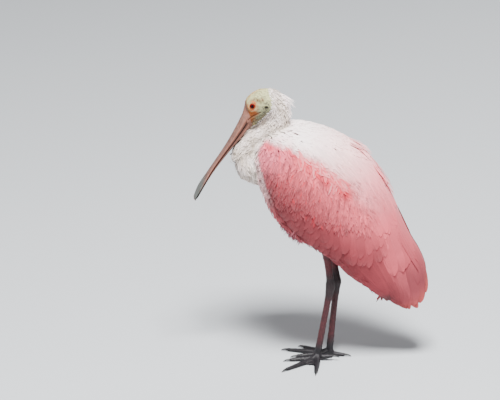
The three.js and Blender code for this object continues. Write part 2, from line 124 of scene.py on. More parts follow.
def body_point(along, out, across=0.0):
    """The place in the bird's frame of a point given in millimetres of the body's frame."""
    return BODY_ORIGIN + MM * (along * TAILWARD + out * BACKWARD) + np.array([across * MM, 0, 0])


def body_places(points):
    """Along, out and distance from the midline, in millimetres, of an array of points."""
    offset = (np.asarray(points) - BODY_ORIGIN) / MM
    return offset @ TAILWARD, offset @ BACKWARD, offset[..., 0]


def ramp(value, low, high):
    """0 below low, 1 above high and smooth between them."""
    t = np.clip((value - low) / (high - low), 0, 1)
    return t * t * (3 - 2 * t)


print("midline at x =", round(MIDLINE, 5))

# %% [markdown]
# ## Colours
# The neck and upper back are white, the folded wings go from pale pink to deep rose, and a streak of carmine
# runs where the wing meets the back. The face is bare: lime on the crown, ochre round the eye and the gape.
# One function gives the plumage its colour at any place, so the skin and the feathers over it always agree.
# It also paints shade: under the wing's front edge, in the neck's fold, between coverts, low on the wing, at its
# tip and under the tail.

# %% Colour helpers
def srgb(red, green, blue):
    """A colour as a screen shows it, from 0 to 255, turned into the linear values that Blender mixes."""
    c = np.array([red, green, blue], float) / 255
    return np.where(c <= 0.04045, c / 12.92, ((c + 0.055) / 1.055) ** 2.4)


WHITE = srgb(252, 238, 236)
CREAM = srgb(224, 208, 190)
BLUSH = srgb(250, 204, 202)
PALE_PINK = srgb(244, 160, 164)
ROSE = srgb(222, 96, 106)
SHOULDER_PINK = srgb(230, 112, 128)
# Deep rose of the lower wing: partly the feathers' own deeper colour, partly painted shade of its down-facing side.
DEEP_ROSE_AND_SHADE = srgb(138, 46, 54)
CARMINE = srgb(208, 30, 50)
TAIL_BUFF = srgb(200, 84, 70)
# A dark brown-grey, painted as the shadow under the tail.
UNDERTAIL_SHADOW = srgb(70, 44, 46)
# How the colour of the back and tertials deepens along the body, with each place in millimetres.
BACK_PLACES = [-80, -20, 46, 109, 179, 219]
BACK_TONES = np.array([
    WHITE, BLUSH, srgb(242, 146, 152), srgb(214, 94, 104), srgb(172, 72, 80), srgb(132, 52, 60),
])

# The side view line that parts the white back and pale scapulars from the pink wing.
UPPER_LINE = np.array([
    (-130, 8), (-115, 14), (-83, 34), (-53, 48), (-12, 52), (23, 52), (60, 52), (95, 51), (122, 45), (150, 31),
    (178, 17), (205, 5), (232, -3), (275, -14),
], float)
WING_LOWER_EDGE = np.array([
    (-122, 2), (-108, -8), (-92, -18), (-67, -31), (-38, -43), (-7, -52), (24, -54), (62, -47), (100, -41),
    (140, -40), (180, -42), (212, -42), (228, -40), (245, -38), (280, -36),
], float)


def wing_front(z):
    """How far forwards the wing reaches at each height, both in millimetres."""
    return np.interp(z, [200, 257, 282, 300, 338, 360, 373, 395], [-58, -61, -71, -77, -82, -77, -66, -15])


def side_places(points):
    """Places of the side view in millimetres: along, out, across, above the wing, below it, y and z."""
    along, out, across = body_places(points)
    above, below = out - np.interp(along, *UPPER_LINE.T), np.interp(along, *WING_LOWER_EDGE.T) - out
    return along, out, across, above, below, points[..., 1] / MM, points[..., 2] / MM


def mixed(base, other, share):
    return base + (other - base) * np.asarray(share)[..., None]


def layered(base, shape, *layers):
    """A base colour for each place, with layers of a colour and its share over it."""
    colour = np.broadcast_to(base, shape)
    for tone, share in layers:
        colour = mixed(colour, tone, share)
    return colour


def near_path(x, y, path, reach):
    """1 on a path through points in a plane, falling softly to 0 at reach from it."""
    best = np.full(np.shape(x), np.inf)
    for (x0, y0), (x1, y1) in zip(path, path[1:]):
        length = (x1 - x0) ** 2 + (y1 - y0) ** 2
        t = np.clip(((x - x0) * (x1 - x0) + (y - y0) * (y1 - y0)) / max(length, 1e-9), 0, 1)
        best = np.minimum(best, np.hypot(x - x0 - t * (x1 - x0), y - y0 - t * (y1 - y0)))
    return 1 - ramp(best, 0, reach)


def soft_noise(points, size, seed=0):
    """Smooth noise from -1 to 1 at each point, with patches of about the given size in metres."""
    flat = np.asarray(points).reshape(-1, 3) / size + 7.3 * seed
    return np.array([noise.noise(p) for p in flat.tolist()]).reshape(np.shape(points)[:-1])


def plumage_colour(points):
    """The colour of skin and feathers at each point of the body, neck, wings and tail, with painted shade in it."""
    points = np.asarray(points, float)
    along, out, across, above, below, y, z = side_places(points)
    # Towards its lower side and rear the wing goes to deep rose, partly its colour and partly painted shade.
    wing = layered(
        SHOULDER_PINK, points.shape, (ROSE, ramp(along, -100, -50)), (DEEP_ROSE_AND_SHADE, 0.9 * ramp(-above, 14, 72)),
        (DEEP_ROSE_AND_SHADE, 0.8 * ramp(along, 60, 150) * ramp(-above, 0, 26)),
    )
    # Patchy tone from noise, and painted shade that darkens the lowest part of the wing, which faces down.
    shading = 0.12 * soft_noise(points * [1, 0.6, 0.8], 7 * MM, 14) - 0.35 * ramp(-above, 55, 92)
    # Long soft streaks run the way the covert feathers lie: painted shade where they part, a lighter tone between.
    streaks = np.stack([(0.77 * along + 0.64 * out) / 4.5, (0.64 * along - 0.77 * out) / 18, across / 40], -1)
    streaks = soft_noise(streaks, 1, 15) * (1 - ramp(-above, 45, 75)) * (1 - ramp(along, 70, 110))
    streaks = streaks * ramp(along, -112, -90)
    shading = shading - 0.42 * ramp(streaks, 0.08, 0.5) + 0.12 * ramp(-streaks, 0.1, 0.5)
    # Painted shade: the wing darkens towards its tip, whose feathers face down.
    wing = wing * (1 + shading - 0.4 * ramp(along, 155, 235))[..., None]
    back = np.stack([np.interp(along, BACK_PLACES, BACK_TONES[:, i]) for i in range(3)], -1)
    edge = 5 * soft_noise(points, 14 * MM, 9) + 4 * soft_noise(points, 4 * MM, 10)
    edge_width = np.interp(along, [-60, 20, 100], [6, 10, 16])
    # Down the belly the pink deepens to a darker rose, partly its colour and partly painted shade of the underside.
    belly = layered(BLUSH, points.shape, (ROSE * 0.8, ramp(along, -75, -20)))
    on_back = ramp((above + edge) / edge_width, -1, 1)
    colour = layered(wing, points.shape, (back, on_back), (belly, ramp(below, -1, 3)))
    # Painted shadow: a dark band just under the wing's front edge, where it overhangs the breast.
    wing_edge_shadow = np.exp(-((below - 3) / 3) ** 2) * (1 - ramp(along, 20, 50)) * ramp(along, -100, -70)
    colour = colour * (1 - 0.45 * wing_edge_shadow)[..., None]

    streak = near_path(along, out, [(-108, 20), (-92, 33), (-60, 39), (-35, 46), (5, 50), (32, 51)], 19)
    streak = streak * (0.3 + 0.7 * ramp(along, -80, -45) * (1 - ramp(along, 15, 45)))
    patchy = 0.55 + 0.6 * soft_noise(points * [1, 0.7, 1], 5 * MM, 13)
    # The neck and breast are white in front of the wings and between them.
    between = (1 - ramp(np.abs(across), 22, 30)) * ramp(-y, 25, 50)
    height = z + 9 * soft_noise(points, 9 * MM, 16)
    neck = np.maximum(ramp(wing_front(z) - y, -2, 3), between) * ramp(height, 245, 292)
    white = layered(WHITE, points.shape, (CREAM, 0.5 + 0.5 * soft_noise(points, 18 * MM, 3)))
    colour = layered(
        colour, points.shape,
        (TAIL_BUFF, 0.4 * ramp(along, 190, 225) * (1 - ramp(np.abs(across), 12, 20))),
        (CARMINE, np.clip(1.2 * streak * patchy, 0, 0.8) * ramp(np.abs(across), 25, 38)),
        (CARMINE, 0.4 * near_path(along, out, [(-109, 12), (-103, 14)], 8)),
        # Painted shadow: a dark smudge under the tail.
        (UNDERTAIL_SHADOW, 0.7 * near_path(along, out, [(200, -34), (212, -30)], 8)), (white, neck),
    )
    # Painted shade along the fold where the neck meets the body.
    crease = near_path(y, z, [(-31, 398), (-60, 380), (-92, 359)], 3.8)
    return colour * (1 - 0.32 * crease)[..., None]


print("colour on the shoulder:", plumage_colour(body_point(-60, 0, 60)).round(3))

# %% [markdown]
# ## Studio
# A plain pale floor, one broad lamp high on the camera's side, a weaker one in front of the bird and a third behind
# it. Broad lamps keep the shadows soft, so that the feathers' own edges show.

# %% Floor and lamps
floor_mesh = bmesh.new()
bmesh.ops.create_grid(floor_mesh, x_segments=1, y_segments=1, size=15)
floor = new_piece("studio_floor", floor_mesh)
floor_finish = bpy.data.materials.new("pale_floor")
floor_finish.use_nodes = True
plug(floor_finish.node_tree.nodes["Principled BSDF"], Base_Color=(0.50, 0.52, 0.54, 1), Roughness=0.9)
floor.data.materials.append(floor_finish)

world = bpy.data.worlds.new("studio")
world.use_nodes = True
plug(world.node_tree.nodes["Background"], Color=(0.93, 0.96, 1, 1), Strength=0.26)
bpy.context.scene.world = world

for name, place, size, watts in (
    ("key_lamp", (1.3, 0.1, 3.0), 0.9, 360), ("front_lamp", (1.2, -2.4, 1.2), 1.4, 10),
    ("back_lamp", (-1.8, 1.6, 1.6), 1.4, 30),
):
    lamp = linked(name, bpy.data.lights.new(name, "AREA"))
    lamp.data.size, lamp.data.energy = size, watts
    look_from(lamp, place)
    print(name, "of", watts, "watts")

# %% [markdown]
# ## Making one skin of many solids
# The solids stop a hair short of each other. Copies of them are merged, swollen until they overlap and then
# rebuilt as one surface of small, even squares, which a smoothing pass rounds off. The solids themselves stay.

# %% Skin helpers
def merged_copy(names, swell):
    """One mesh of copies of solids, their doubled corners merged and each swollen by a little."""
    whole = bmesh.new()
    for name in names:
        part = bmesh.new()
        part.from_mesh(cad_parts[name].data)
        bmesh.ops.remove_doubles(part, verts=part.verts, dist=1e-5)
        bmesh.ops.recalc_face_normals(part, faces=part.faces)
        part.normal_update()
        for corner in part.verts:
            corner.co += corner.normal * swell
        data = bpy.data.meshes.new("copy")
        part.to_mesh(data)
        part.free()
        whole.from_mesh(data)
        bpy.data.meshes.remove(data)
    return whole


def apply_modifiers(piece):
    """Turns what the modifiers make into the piece's own mesh."""
    shown = piece.evaluated_get(bpy.context.evaluated_depsgraph_get())
    data = bpy.data.meshes.new_from_object(shown)
    old = piece.data
    piece.modifiers.clear()
    piece.data = data
    bpy.data.meshes.remove(old)


def one_surface(piece, voxel, smoothing):
    """Rebuilds a piece from voxels, rounds it off and keeps only its largest shell."""
    remesh = piece.modifiers.new("voxels", "REMESH")
    remesh.mode = "VOXEL"
    remesh.voxel_size = voxel
    smooth = piece.modifiers.new("smooth", "SMOOTH")
    smooth.factor = 0.5
    smooth.iterations = smoothing
    apply_modifiers(piece)
    shape = bmesh.new()
    shape.from_mesh(piece.data)
    left, shells = set(shape.verts), []
    while left:
        grown = [left.pop()]
        for corner in grown:
            for edge in corner.link_edges:
                other = edge.other_vert(corner)
                if other in left:
                    left.remove(other)
                    grown.append(other)
        shells.append(grown)
    shells.sort(key=len)
    bmesh.ops.delete(shape, geom=[v for shell in shells[:-1] for v in shell], context="VERTS")
    bmesh.ops.recalc_face_normals(shape, faces=shape.faces)
    shape.to_mesh(piece.data)
    shape.free()
    return len(shells)


def numbers(items, key, width, kind=np.float32):
    """One property of all items of a mesh, as rows of an array."""
    values = np.zeros(len(items) * width, kind)
    items.foreach_get(key, values)
    return values.reshape(-1, width)


def corners_of(data):
    return numbers(data.vertices, "co", 3).astype(float)


def normals_of(data):
    return numbers(data.vertex_normals, "vector", 3).astype(float)


def move_corners(data, places):
    data.vertices.foreach_set("co", np.asarray(places, np.float32).ravel())
    data.update()


def paint(data, colours):
    """Stores a colour on each corner of a mesh, which its material reads, and shades the mesh smooth."""
    layer = data.color_attributes.new("tint", "FLOAT_COLOR", "POINT")
    values = np.ones((len(data.vertices), 4), np.float32)
    values[:, :3] = colours
    layer.data.foreach_set("color", values.ravel())
    data.polygons.foreach_set("use_smooth", np.ones(len(data.polygons), bool))


def dress(piece, colours, material, slot_name=None, *nodes):
    """Paints a piece, gives it a finish and, with a slot name, hides the solids it replaces and hangs it on the
    root.
    """
    paint(piece.data, colours)
    piece.data.materials.clear()
    piece.data.materials.append(material)
    if slot_name:
        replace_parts(piece, *nodes)
        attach(piece, "root")
    return piece


SIDES = ("left", "right")
BODY_NODES = ["head", "neck_upper", "neck_lower", "trunk", "mantle"] + [
    f"{part}_{side}" for side in SIDES
    for part in ("scapulars", "wing_coverts", "wing_secondaries", "wing_tertials", "wing_primaries")
]
flesh = merged_copy(BODY_NODES, 0.6 * MM)
# The bare pouch of the throat fills the notch between the lower mandible and the neck.
throat = Matrix.Translation((MIDLINE, -98 * MM, 379 * MM)) @ Matrix.Rotation(math.radians(38), 4, "X")
bmesh.ops.create_icosphere(
    flesh, subdivisions=3, radius=MM, matrix=throat @ Matrix.Diagonal((8, 12, 6.5, 1)),
)
skin = new_piece("body_skin", flesh)
shells = one_surface(skin, 2.3 * MM, 8)
print("skin:", len(skin.data.polygons), "faces from", shells, "shells")

# %% [markdown]
# ## Room for the coat
# The solids reach to the feathers' own surface, so the skin goes in by the depth of the coat: nothing on the bare
# face, about three millimetres on neck and body. Behind, where the solids are made of long feathers alone, the
# skin is drawn in a lot further, so that the vanes there hang free.

# %% Draw the skin in
BARE_EDGE_Z = [355, 372, 393, 410, 418, 432, 449]
BARE_EDGE_Y = [-116, -105.6, -79.6, -64.1, -57.6, -56.1, -63.6]


def bareness(points):
    """1 on the bare face and throat, 0 where feathers grow."""
    y, z = points[..., 1] / MM, points[..., 2] / MM
    edge = np.interp(z, BARE_EDGE_Z, BARE_EDGE_Y)
    return ramp(edge - y, -1.5, 1.5) * ramp(z, 362, 372)


COAT_DEPTH, NECK_DEPTH = 3.0, 1.6
FREE_FROM = 175  # from here tailward only long feathers fill the solids


def draw_in(places, normals):
    along = body_places(places)[0]
    on_neck = ramp(places[:, 2] / MM, 370, 400) * (1 - ramp(places[:, 1] / MM, -40, -20))
    depth = (COAT_DEPTH - (COAT_DEPTH - NECK_DEPTH) * on_neck) * (1 - bareness(places)) + 0.6
    moved = places - normals * (depth * MM)[:, None]
    shift = -0.42 * ramp(along, FREE_FROM, 250) * np.maximum(along - FREE_FROM, 0)
    moved = moved + MM * shift[:, None] * TAILWARD
    moved[:, 0] -= (moved[:, 0] - MIDLINE) * 0.25 * ramp(along, 150, 220)
    return moved


move_corners(skin.data, draw_in(corners_of(skin.data), normals_of(skin.data)))
print("bare corners:", int((bareness(corners_of(skin.data)) > 0.5).sum()))

# %% [markdown]
# ## Face
# A spoonbill's face is bare, wrinkled skin. The head's squares are split finer, and then every corner is pushed
# along its normal: a swelling round each eye, a ridge over it, hollow lores, the crease that runs back from the
# gape, the ear's opening and folds down the throat. Features are paths in the side view, so both sides match.

# %% Finer squares on the face
eye_low, eye_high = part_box("eye_left")
EYE_CENTRE = (eye_low + eye_high) / 2
EYE_RADIUS = 6.0 * MM
EYE_Y, EYE_Z = EYE_CENTRE.y / MM, EYE_CENTRE.z / MM
EYE_OFF = (EYE_CENTRE.x - MIDLINE) / MM

shape = bmesh.new()
shape.from_mesh(skin.data)
for reach in (1, 2):
    centres = [(f, f.calc_center_median()) for f in shape.faces]
    chosen = [(f, c) for f, c in centres if c.z > (368 + 4 * reach) * MM and c.y < (-50 - 4 * reach) * MM]
    bare = bareness(np.array([c[:] for _, c in chosen])) if reach == 2 else np.ones(len(chosen))
    edges = {e for (f, _), b in zip(chosen, bare) if b > 0.2 for e in f.edges}
    bmesh.ops.subdivide_edges(shape, edges=list(edges), cuts=1, use_grid_fill=True)
near = [v for v in shape.verts if v.co.z > 372 * MM and v.co.y < -54 * MM]
for _ in range(3):
    bmesh.ops.smooth_vert(shape, verts=near, factor=0.5, use_axis_x=True, use_axis_y=True, use_axis_z=True)
bmesh.ops.triangulate(shape, faces=[f for f in shape.faces if len(f.verts) > 4])
shape.to_mesh(skin.data)
shape.free()
print("skin faces:", len(skin.data.polygons))

# %% Sculpt the face
BROW = [(-98, 428), (-91, 432.5), (-83, 434), (-76, 431.5)]
GAPE_CREASE = [(-96, 399), (-93.5, 402), (-90, 405), (-86, 407.8), (-81.5, 410.8), (-77.5, 413)]
CHEEK_FOLD = [(-91, 394.5), (-83, 398), (-75, 404), (-70, 411)]
THROAT_FOLD = [(-99, 384), (-91, 389), (-82, 394), (-75, 400)]
LORES = [(-100, 419), (-98.5, 410)]
EAR_Y, EAR_Z = -68.2, 421.5
FOLDS = [  # path in the side view, how far below it, push in millimetres, reach
    (BROW, 0, 0.9, 5), (GAPE_CREASE, 0, -0.9, 1.5), (GAPE_CREASE, 2.6, 0.55, 3.2), (GAPE_CREASE, -2.4, 0.35, 3),
    (CHEEK_FOLD, 2.2, 0.45, 3), (CHEEK_FOLD, 0, -0.55, 1.7),
    (THROAT_FOLD, 2, 0.4, 2.6), (THROAT_FOLD, 0, -0.5, 1.6), (LORES, 0, -0.9, 6),
]


def face_places(places):
    """Y, z, distance from the midline, from the eye and from the ear's middle, in millimetres."""
    y, z, off = places[:, 1] / MM, places[:, 2] / MM, np.abs(places[:, 0] - MIDLINE) / MM
    return y, z, off, np.hypot(y - EYE_Y, z - EYE_Z), np.hypot((y - EAR_Y) / 1.3, z - EAR_Z)


def eye_swelling(distance):
    """How far out from the eyeball's centre the skin stands round the eye, in millimetres."""
    return 4.1 - 0.9 * ramp(distance, 4.5, 10)


def sculpt(places, normals):
    y, z, off, from_eye, from_ear = face_places(places)
    push = sum(amount * near_path(y, z + lower, path, reach) for path, lower, amount, reach in FOLDS)
    push += 0.6 * (1 - ramp(from_ear, 2.2, 5)) - 2.4 * (1 - ramp(from_ear, 0.4, 2.3))
    push *= ramp(off, 3, 7)
    fine = soft_noise(places, 2.3 * MM, 1) * 0.16 + soft_noise(places * [1, 1, 2.2], 1.2 * MM, 2) * 0.08
    wrinkles = np.sin(soft_noise(places, 9 * MM, 5) * 22 + z * 0.9) * 0.07
    places = places + normals * ((push + fine + wrinkles) * bareness(places) * MM)[:, None]
    # Round the eye the skin swells out to the eyeball, and inside the lids it goes in behind it.
    share = (1 - ramp(from_eye, 6.5, 13)) * (off > 5)
    new_off = np.maximum(off, off + (EYE_OFF + eye_swelling(from_eye) - off) * share)
    new_off = np.where((from_eye < 4.9) & (off > 5), EYE_OFF - 1.5, new_off)
    side = np.sign(places[:, 0] - MIDLINE)
    places[:, 0] = np.where(share > 0, MIDLINE + side * new_off * MM, places[:, 0])
    return places


move_corners(skin.data, sculpt(corners_of(skin.data), normals_of(skin.data)))
print("eye centre:", [round(c / MM, 1) for c in EYE_CENTRE])

# %% Colours of the face
LIME = srgb(172, 170, 124)
SAGE = srgb(116, 116, 88)
OCHRE = srgb(112, 54, 10)
APRICOT = srgb(188, 92, 40)
BROW_BROWN = srgb(88, 44, 20)
GULAR_YELLOW = srgb(206, 190, 118)
HORN_ROOT = srgb(134, 92, 78)
ASH = srgb(62, 58, 54)
# Near black, painted as the shade inside the ear's opening.
EAR_HOLE_SHADE = srgb(30, 24, 22)
LID_BROWN = srgb(146, 80, 44)


def face_colour(places):
    y, z, off, from_eye, from_ear = face_places(places)
    mottle = soft_noise(places, 3.2 * MM, 6)
    blotch = ramp(soft_noise(places, 2.1 * MM, 7), -0.1, 0.45)
    flecks = ramp(soft_noise(places, 1.9 * MM, 8), -0.02, 0.3)

    def near(reach, *path):
        return near_path(y, z, path, reach)

    # The horn of the bill runs up between forehead and lores as a wedge.
    wedge_back = np.interp(z, [384, 390, 402, 407, 414, 426], [-93, -89, -93, -93.5, -96.5, -99.5])
    wedge = ramp(wedge_back - y, -0.8, 0.8) * ramp(z, 380, 385) * (1 - ramp(z, 423, 427))
    return layered(
        LIME, places.shape,
        (SAGE, ramp(430 - z, 0, 20) * ramp(y, -98, -80)),
        (SAGE, 0.45 * ramp(mottle, -0.1, 0.5)),
        (APRICOT, 0.6 * (1 - ramp(off, 1, 7)) * ramp(-y, 64, 92) * (0.6 + 0.4 * mottle)),
        (BROW_BROWN, 0.3 * flecks * ramp(z, 428, 440) * ramp(-y, 60, 80)),
        (GULAR_YELLOW, 0.8 * near(6, (-106, 374), (-96, 383), (-87, 391))),
        (OCHRE, near(8, (-102, 424), (-100, 413), (-96, 404), (-92, 397))),
        (OCHRE, near(7, (-98, 413), (-91, 411), (-85, 412))),
        (OCHRE, 0.95 * near(6, (-96, 406), (-91, 407.5), (-86, 410))),
        (OCHRE, 0.9 * near(5.5, (-93, 398), (-87.5, 403))),
        (OCHRE, 0.7 * blotch * near(4, (-86, 398), (-80, 410), (-81, 420))),
        (BROW_BROWN, 0.6 * blotch * near(9, (-102, 424), (-96, 408), (-86, 410))),
        (BROW_BROWN, 0.9 * (0.6 + 0.4 * blotch) * near(5.5, (-92, 429.5), (-86, 432), (-79, 431.5), (-74, 433))),
        (HORN_ROOT, wedge),
        (APRICOT, 0.35 * (1 - ramp(from_eye, 7.5, 9.5)) * (0.4 + 0.6 * blotch)),
        # Painted shade: dark lines along the gape crease and the cheek fold, where the skin folds in.
        (BROW_BROWN, 0.85 * near(1.8, *GAPE_CREASE)),
        (BROW_BROWN, 0.5 * near(1.8, *CHEEK_FOLD)),
        (ASH, (0.25 + 0.7 * flecks) * near(11, (-68, 426), (-68, 416), (-73, 406), (-82, 397), (-90, 389))),
        (ASH, 0.35 * flecks * ramp(y, -94, -74)),
        # Painted shade inside the ear's opening.
        (EAR_HOLE_SHADE, 0.9 * (1 - ramp(from_ear, 1.6, 3.8))),
    )


# %% [markdown]
# ## Finishes that read the painted colour
# Every piece of the bird carries its colour in an attribute named `tint`. The finish breaks that colour up with
# fine noise and adds pores, wrinkles, barbs or horn streaks as bump, at the size that each has on the bird.

# %% Finishes
def finish(name, roughness, grain, grain_share, bump_size, bump_strength, bump_distance, uv=None, **sockets):
    """A material that multiplies the painted colour by fine noise and has a bump of its own."""
    material = bpy.data.materials.new(name)
    material.use_nodes = True

    def new(kind):
        return material.node_tree.nodes.new("ShaderNode" + kind)

    tint, colour = new("Attribute"), new("VectorMath")
    tint.attribute_name = "tint"
    colour.operation = "SCALE"
    if uv:
        place = new("UVMap")
        place.uv_map = uv[0]
        source = plug(new("Mapping"), Vector=place.outputs["UV"], Scale=uv[1]).outputs["Vector"]
    else:
        source = new("TexCoord").outputs["Object"]
    fine, rough = (
        plug(new("TexNoise"), Vector=source, Scale=scale, Detail=3.0).outputs["Fac"]
        for scale in (grain, bump_size)
    )
    brightness = plug(
        new("MapRange"), Value=fine, From_Min=0.3, From_Max=0.7, To_Min=1 - grain_share, To_Max=1 + grain_share,
    )
    plug(colour, Vector=tint.outputs["Color"], Scale=brightness.outputs["Result"])
    bump = plug(new("Bump"), Strength=bump_strength, Distance=bump_distance, Height=rough)
    plug(
        material.node_tree.nodes["Principled BSDF"], Base_Color=colour.outputs["Vector"],
        Normal=bump.outputs["Normal"], Roughness=roughness, **sockets,
    )
    return material


skin_finish = finish("bare_skin", 0.7, 900, 0.12, 1400, 0.6, 0.0004, Specular_IOR_Level=0.2)
horn_finish = finish("bill_horn", 0.5, 600, 0.14, 900, 0.3, 0.0003, Specular_IOR_Level=0.25)
leg_finish = finish("leg_scales", 0.5, 700, 0.15, 1200, 0.3, 0.0003, Specular_IOR_Level=0.35)
claw_finish = finish("claw_horn", 0.32, 900, 0.15, 1300, 0.15, 0.0002, Specular_IOR_Level=0.5)
eye_finish = finish("wet_eye", 0.12, 2500, 0.15, 900, 0.0, 0.0001, Specular_IOR_Level=0.05, Coat_Weight=0.03)
places = corners_of(skin.data)
body_tint = mixed(plumage_colour(places), face_colour(places), bareness(places))
dress(skin, body_tint, skin_finish, "face_skin", *BODY_NODES)
print("finishes:", [m.name for m in bpy.data.materials])

# %% [markdown]
# ## Eyes and lids
# The iris is red with a round dark pupil, and a bare lid of soft orange folds rings it. The ball is a sphere whose
# pole looks sideways, so its rings are where iris and pupil meet. The lid is a profile spun about the same line
# and pressed flatter, and it joins the skin as part of it.

# %% Eyeballs
IRIS_RED = srgb(96, 9, 8)
IRIS_RIM = srgb(74, 8, 8)
PUPIL_BLACK = srgb(10, 9, 12)
PUPIL_RADIUS = 2.2
IRIS_RADIUS = 4.8
LOOK = Vector((1, -0.1, 0.06)).normalized()


def look_matrix(side):
    """Turns +Z to where the eye of that side looks, and moves to that eye's centre."""
    look = Vector((side * LOOK.x, LOOK.y, LOOK.z))
    centre = Vector((MIDLINE + side * EYE_OFF * MM, EYE_CENTRE.y, EYE_CENTRE.z))
    return Matrix.Translation(centre) @ look.to_track_quat("Z", "Y").to_matrix().to_4x4()


def add_eye(name, side):
    ball = bmesh.new()
    bmesh.ops.create_uvsphere(ball, u_segments=40, v_segments=56, radius=EYE_RADIUS)
    for corner in ball.verts:  # the cornea stands out a little over the iris
        reach = math.hypot(corner.co.x, corner.co.y) / MM
        if corner.co.z > 0:
            corner.co.z += 0.45 * MM * (1 - float(ramp(reach, 0, 4.2)))
    local = np.array([v.co[:] for v in ball.verts])
    bmesh.ops.transform(ball, matrix=look_matrix(side), verts=ball.verts)
    reach = np.hypot(local[:, 0], local[:, 1]) / MM
    colours = layered(
        PUPIL_BLACK, local.shape, (IRIS_RED, ramp(reach, PUPIL_RADIUS - 0.2, PUPIL_RADIUS + 0.2)),
        (IRIS_RIM, ramp(reach, IRIS_RADIUS - 0.7, IRIS_RADIUS)), (IRIS_RIM, 1 - ramp(local[:, 2], 0, MM)),
    )
    dress(new_piece(f"eyeball_{name}", ball), colours, eye_finish, "eye", f"eye_{name}")


add_eye("left", 1)
add_eye("right", -1)
print("eyes made")


# %% Lids
def lid_height(reach):
    """How far the lid stands out from the eyeball's centre, at a distance from the line of sight."""
    ball = math.sqrt(max(36 - reach * reach, 0)) + 0.25
    folds = 0.55 * math.exp(-((reach - 5.3) / 0.7) ** 2) + 0.45 * math.exp(-((reach - 7.1) / 0.6) ** 2)
    skin_height = float(eye_swelling(reach)) + folds - 1.6 * float(ramp(reach, 7.6, 9.6))
    return max(ball, skin_height) if reach < 5.3 else skin_height


LID_PROFILE = [3.95, 4.05, 4.3, 4.7, 5.15, 5.5, 5.85, 6.25, 6.6, 6.95, 7.35, 7.8, 8.4, 9.0, 9.6]
LID_SQUEEZE = 0.85


def add_lid(side):
    lid = bmesh.new()
    corners = [lid.verts.new((reach * MM, 0, 0)) for reach in LID_PROFILE]
    edges = [lid.edges.new(pair) for pair in zip(corners, corners[1:])]
    bmesh.ops.spin(
        lid, geom=corners + edges, cent=(0, 0, 0), axis=(0, 0, 1), angle=2 * math.pi, steps=56, use_merge=True,
    )
    for corner in lid.verts:
        angle = math.atan2(corner.co.y, corner.co.x)
        reach = corner.co.xy.length / MM
        corner.co.y *= 1 - (1 - LID_SQUEEZE) * (1 - float(ramp(reach, 4, 9)))
        wobble = 0.12 * math.sin(9 * angle) * float(ramp(reach, 5, 7))
        corner.co.z = (lid_height(reach if reach > 4.9 else corner.co.xy.length / MM) + wobble) * MM
    bmesh.ops.recalc_face_normals(lid, faces=lid.faces)
    if sum(f.normal.z * f.calc_area() for f in lid.faces) < 0:
        bmesh.ops.reverse_faces(lid, faces=lid.faces)
    reaches = np.array([v.co.xy.length / MM for v in lid.verts])
    bmesh.ops.transform(lid, matrix=look_matrix(side), verts=lid.verts)
    piece = new_piece(f"lid_{side}", lid)
    colours = layered(
        LID_BROWN, (len(reaches), 3), (face_colour(corners_of(piece.data)), ramp(reaches, 7, 8.2)),
        (APRICOT * 1.2, 0.85 * np.exp(-((reaches - 6.9) / 0.6) ** 2)),
        # Painted shade: the lid's inner edge darkens where it overhangs the eyeball.
        (IRIS_RIM, 0.8 * (1 - ramp(reaches, 3.6, 4.2))),
    )
    return dress(piece, colours, skin_finish)


def join(target, *pieces):
    """Makes the pieces part of the target's mesh."""
    bpy.ops.object.select_all(action="DESELECT")
    for piece in (*pieces, target):
        piece.select_set(True)
    bpy.context.view_layer.objects.active = target
    bpy.ops.object.join()


join(skin, add_lid(1), add_lid(-1))
print("skin with lids:", len(skin.data.polygons), "faces")

# %% [markdown]
# ## Bill
# The bill is flat and long, narrow at its middle and spread into a spoon at its end, with a small hooked nail.
# Each mandible is an arch over a flat floor. A ring of corners is extruded along the line where the mandibles
# meet, and each new ring is set to the width and height that the bill has there.

# %% The bill's line and form
BILL_LINE = np.array([
    (0, -94, 402), (0.1, -104.5, 384.5), (0.25, -118.5, 363), (0.4, -131.5, 344.5), (0.6, -149, 319.5),
    (0.78, -163.5, 297.5), (0.9, -173.5, 280.5), (0.97, -178.3, 270), (1, -179.6, 264.5),
])
BILL_FORM = np.array([  # place, half width, height of the upper mandible, depth of the lower
    (0, 12.5, 12, 11), (0.12, 11.4, 9.6, 8.6), (0.25, 10.2, 7.4, 5.6), (0.4, 8.8, 5.6, 4), (0.55, 8.6, 4.6, 3.2),
    (0.68, 11.5, 3.9, 2.7), (0.8, 18.5, 3.3, 2.4), (0.88, 22.5, 3, 2.2), (0.94, 21, 2.8, 2), (0.98, 13.5, 2.6, 1.8),
    (1, 4, 2, 1),
])
BILL_Y_SHIFT = 1.4


def smooth_rows(rows, place):
    """Rows of numbers, the first of each its place, read smoothly at any place between them."""
    i = int(np.clip(np.searchsorted(rows[:, 0], place) - 1, 0, len(rows) - 2))
    before, start, end, after = rows[max(i - 1, 0)], rows[i], rows[i + 1], rows[min(i + 2, len(rows) - 1)]
    span = end[0] - start[0]
    t = min(max((place - start[0]) / span, 0), 1)
    slope_in = (end - before) / (end[0] - before[0])
    slope_out = (after - start) / (after[0] - start[0])
    return (
        (2 * t**3 - 3 * t**2 + 1) * start + (t**3 - 2 * t**2 + t) * span * slope_in
        + (3 * t**2 - 2 * t**3) * end + (t**3 - t**2) * span * slope_out
    )


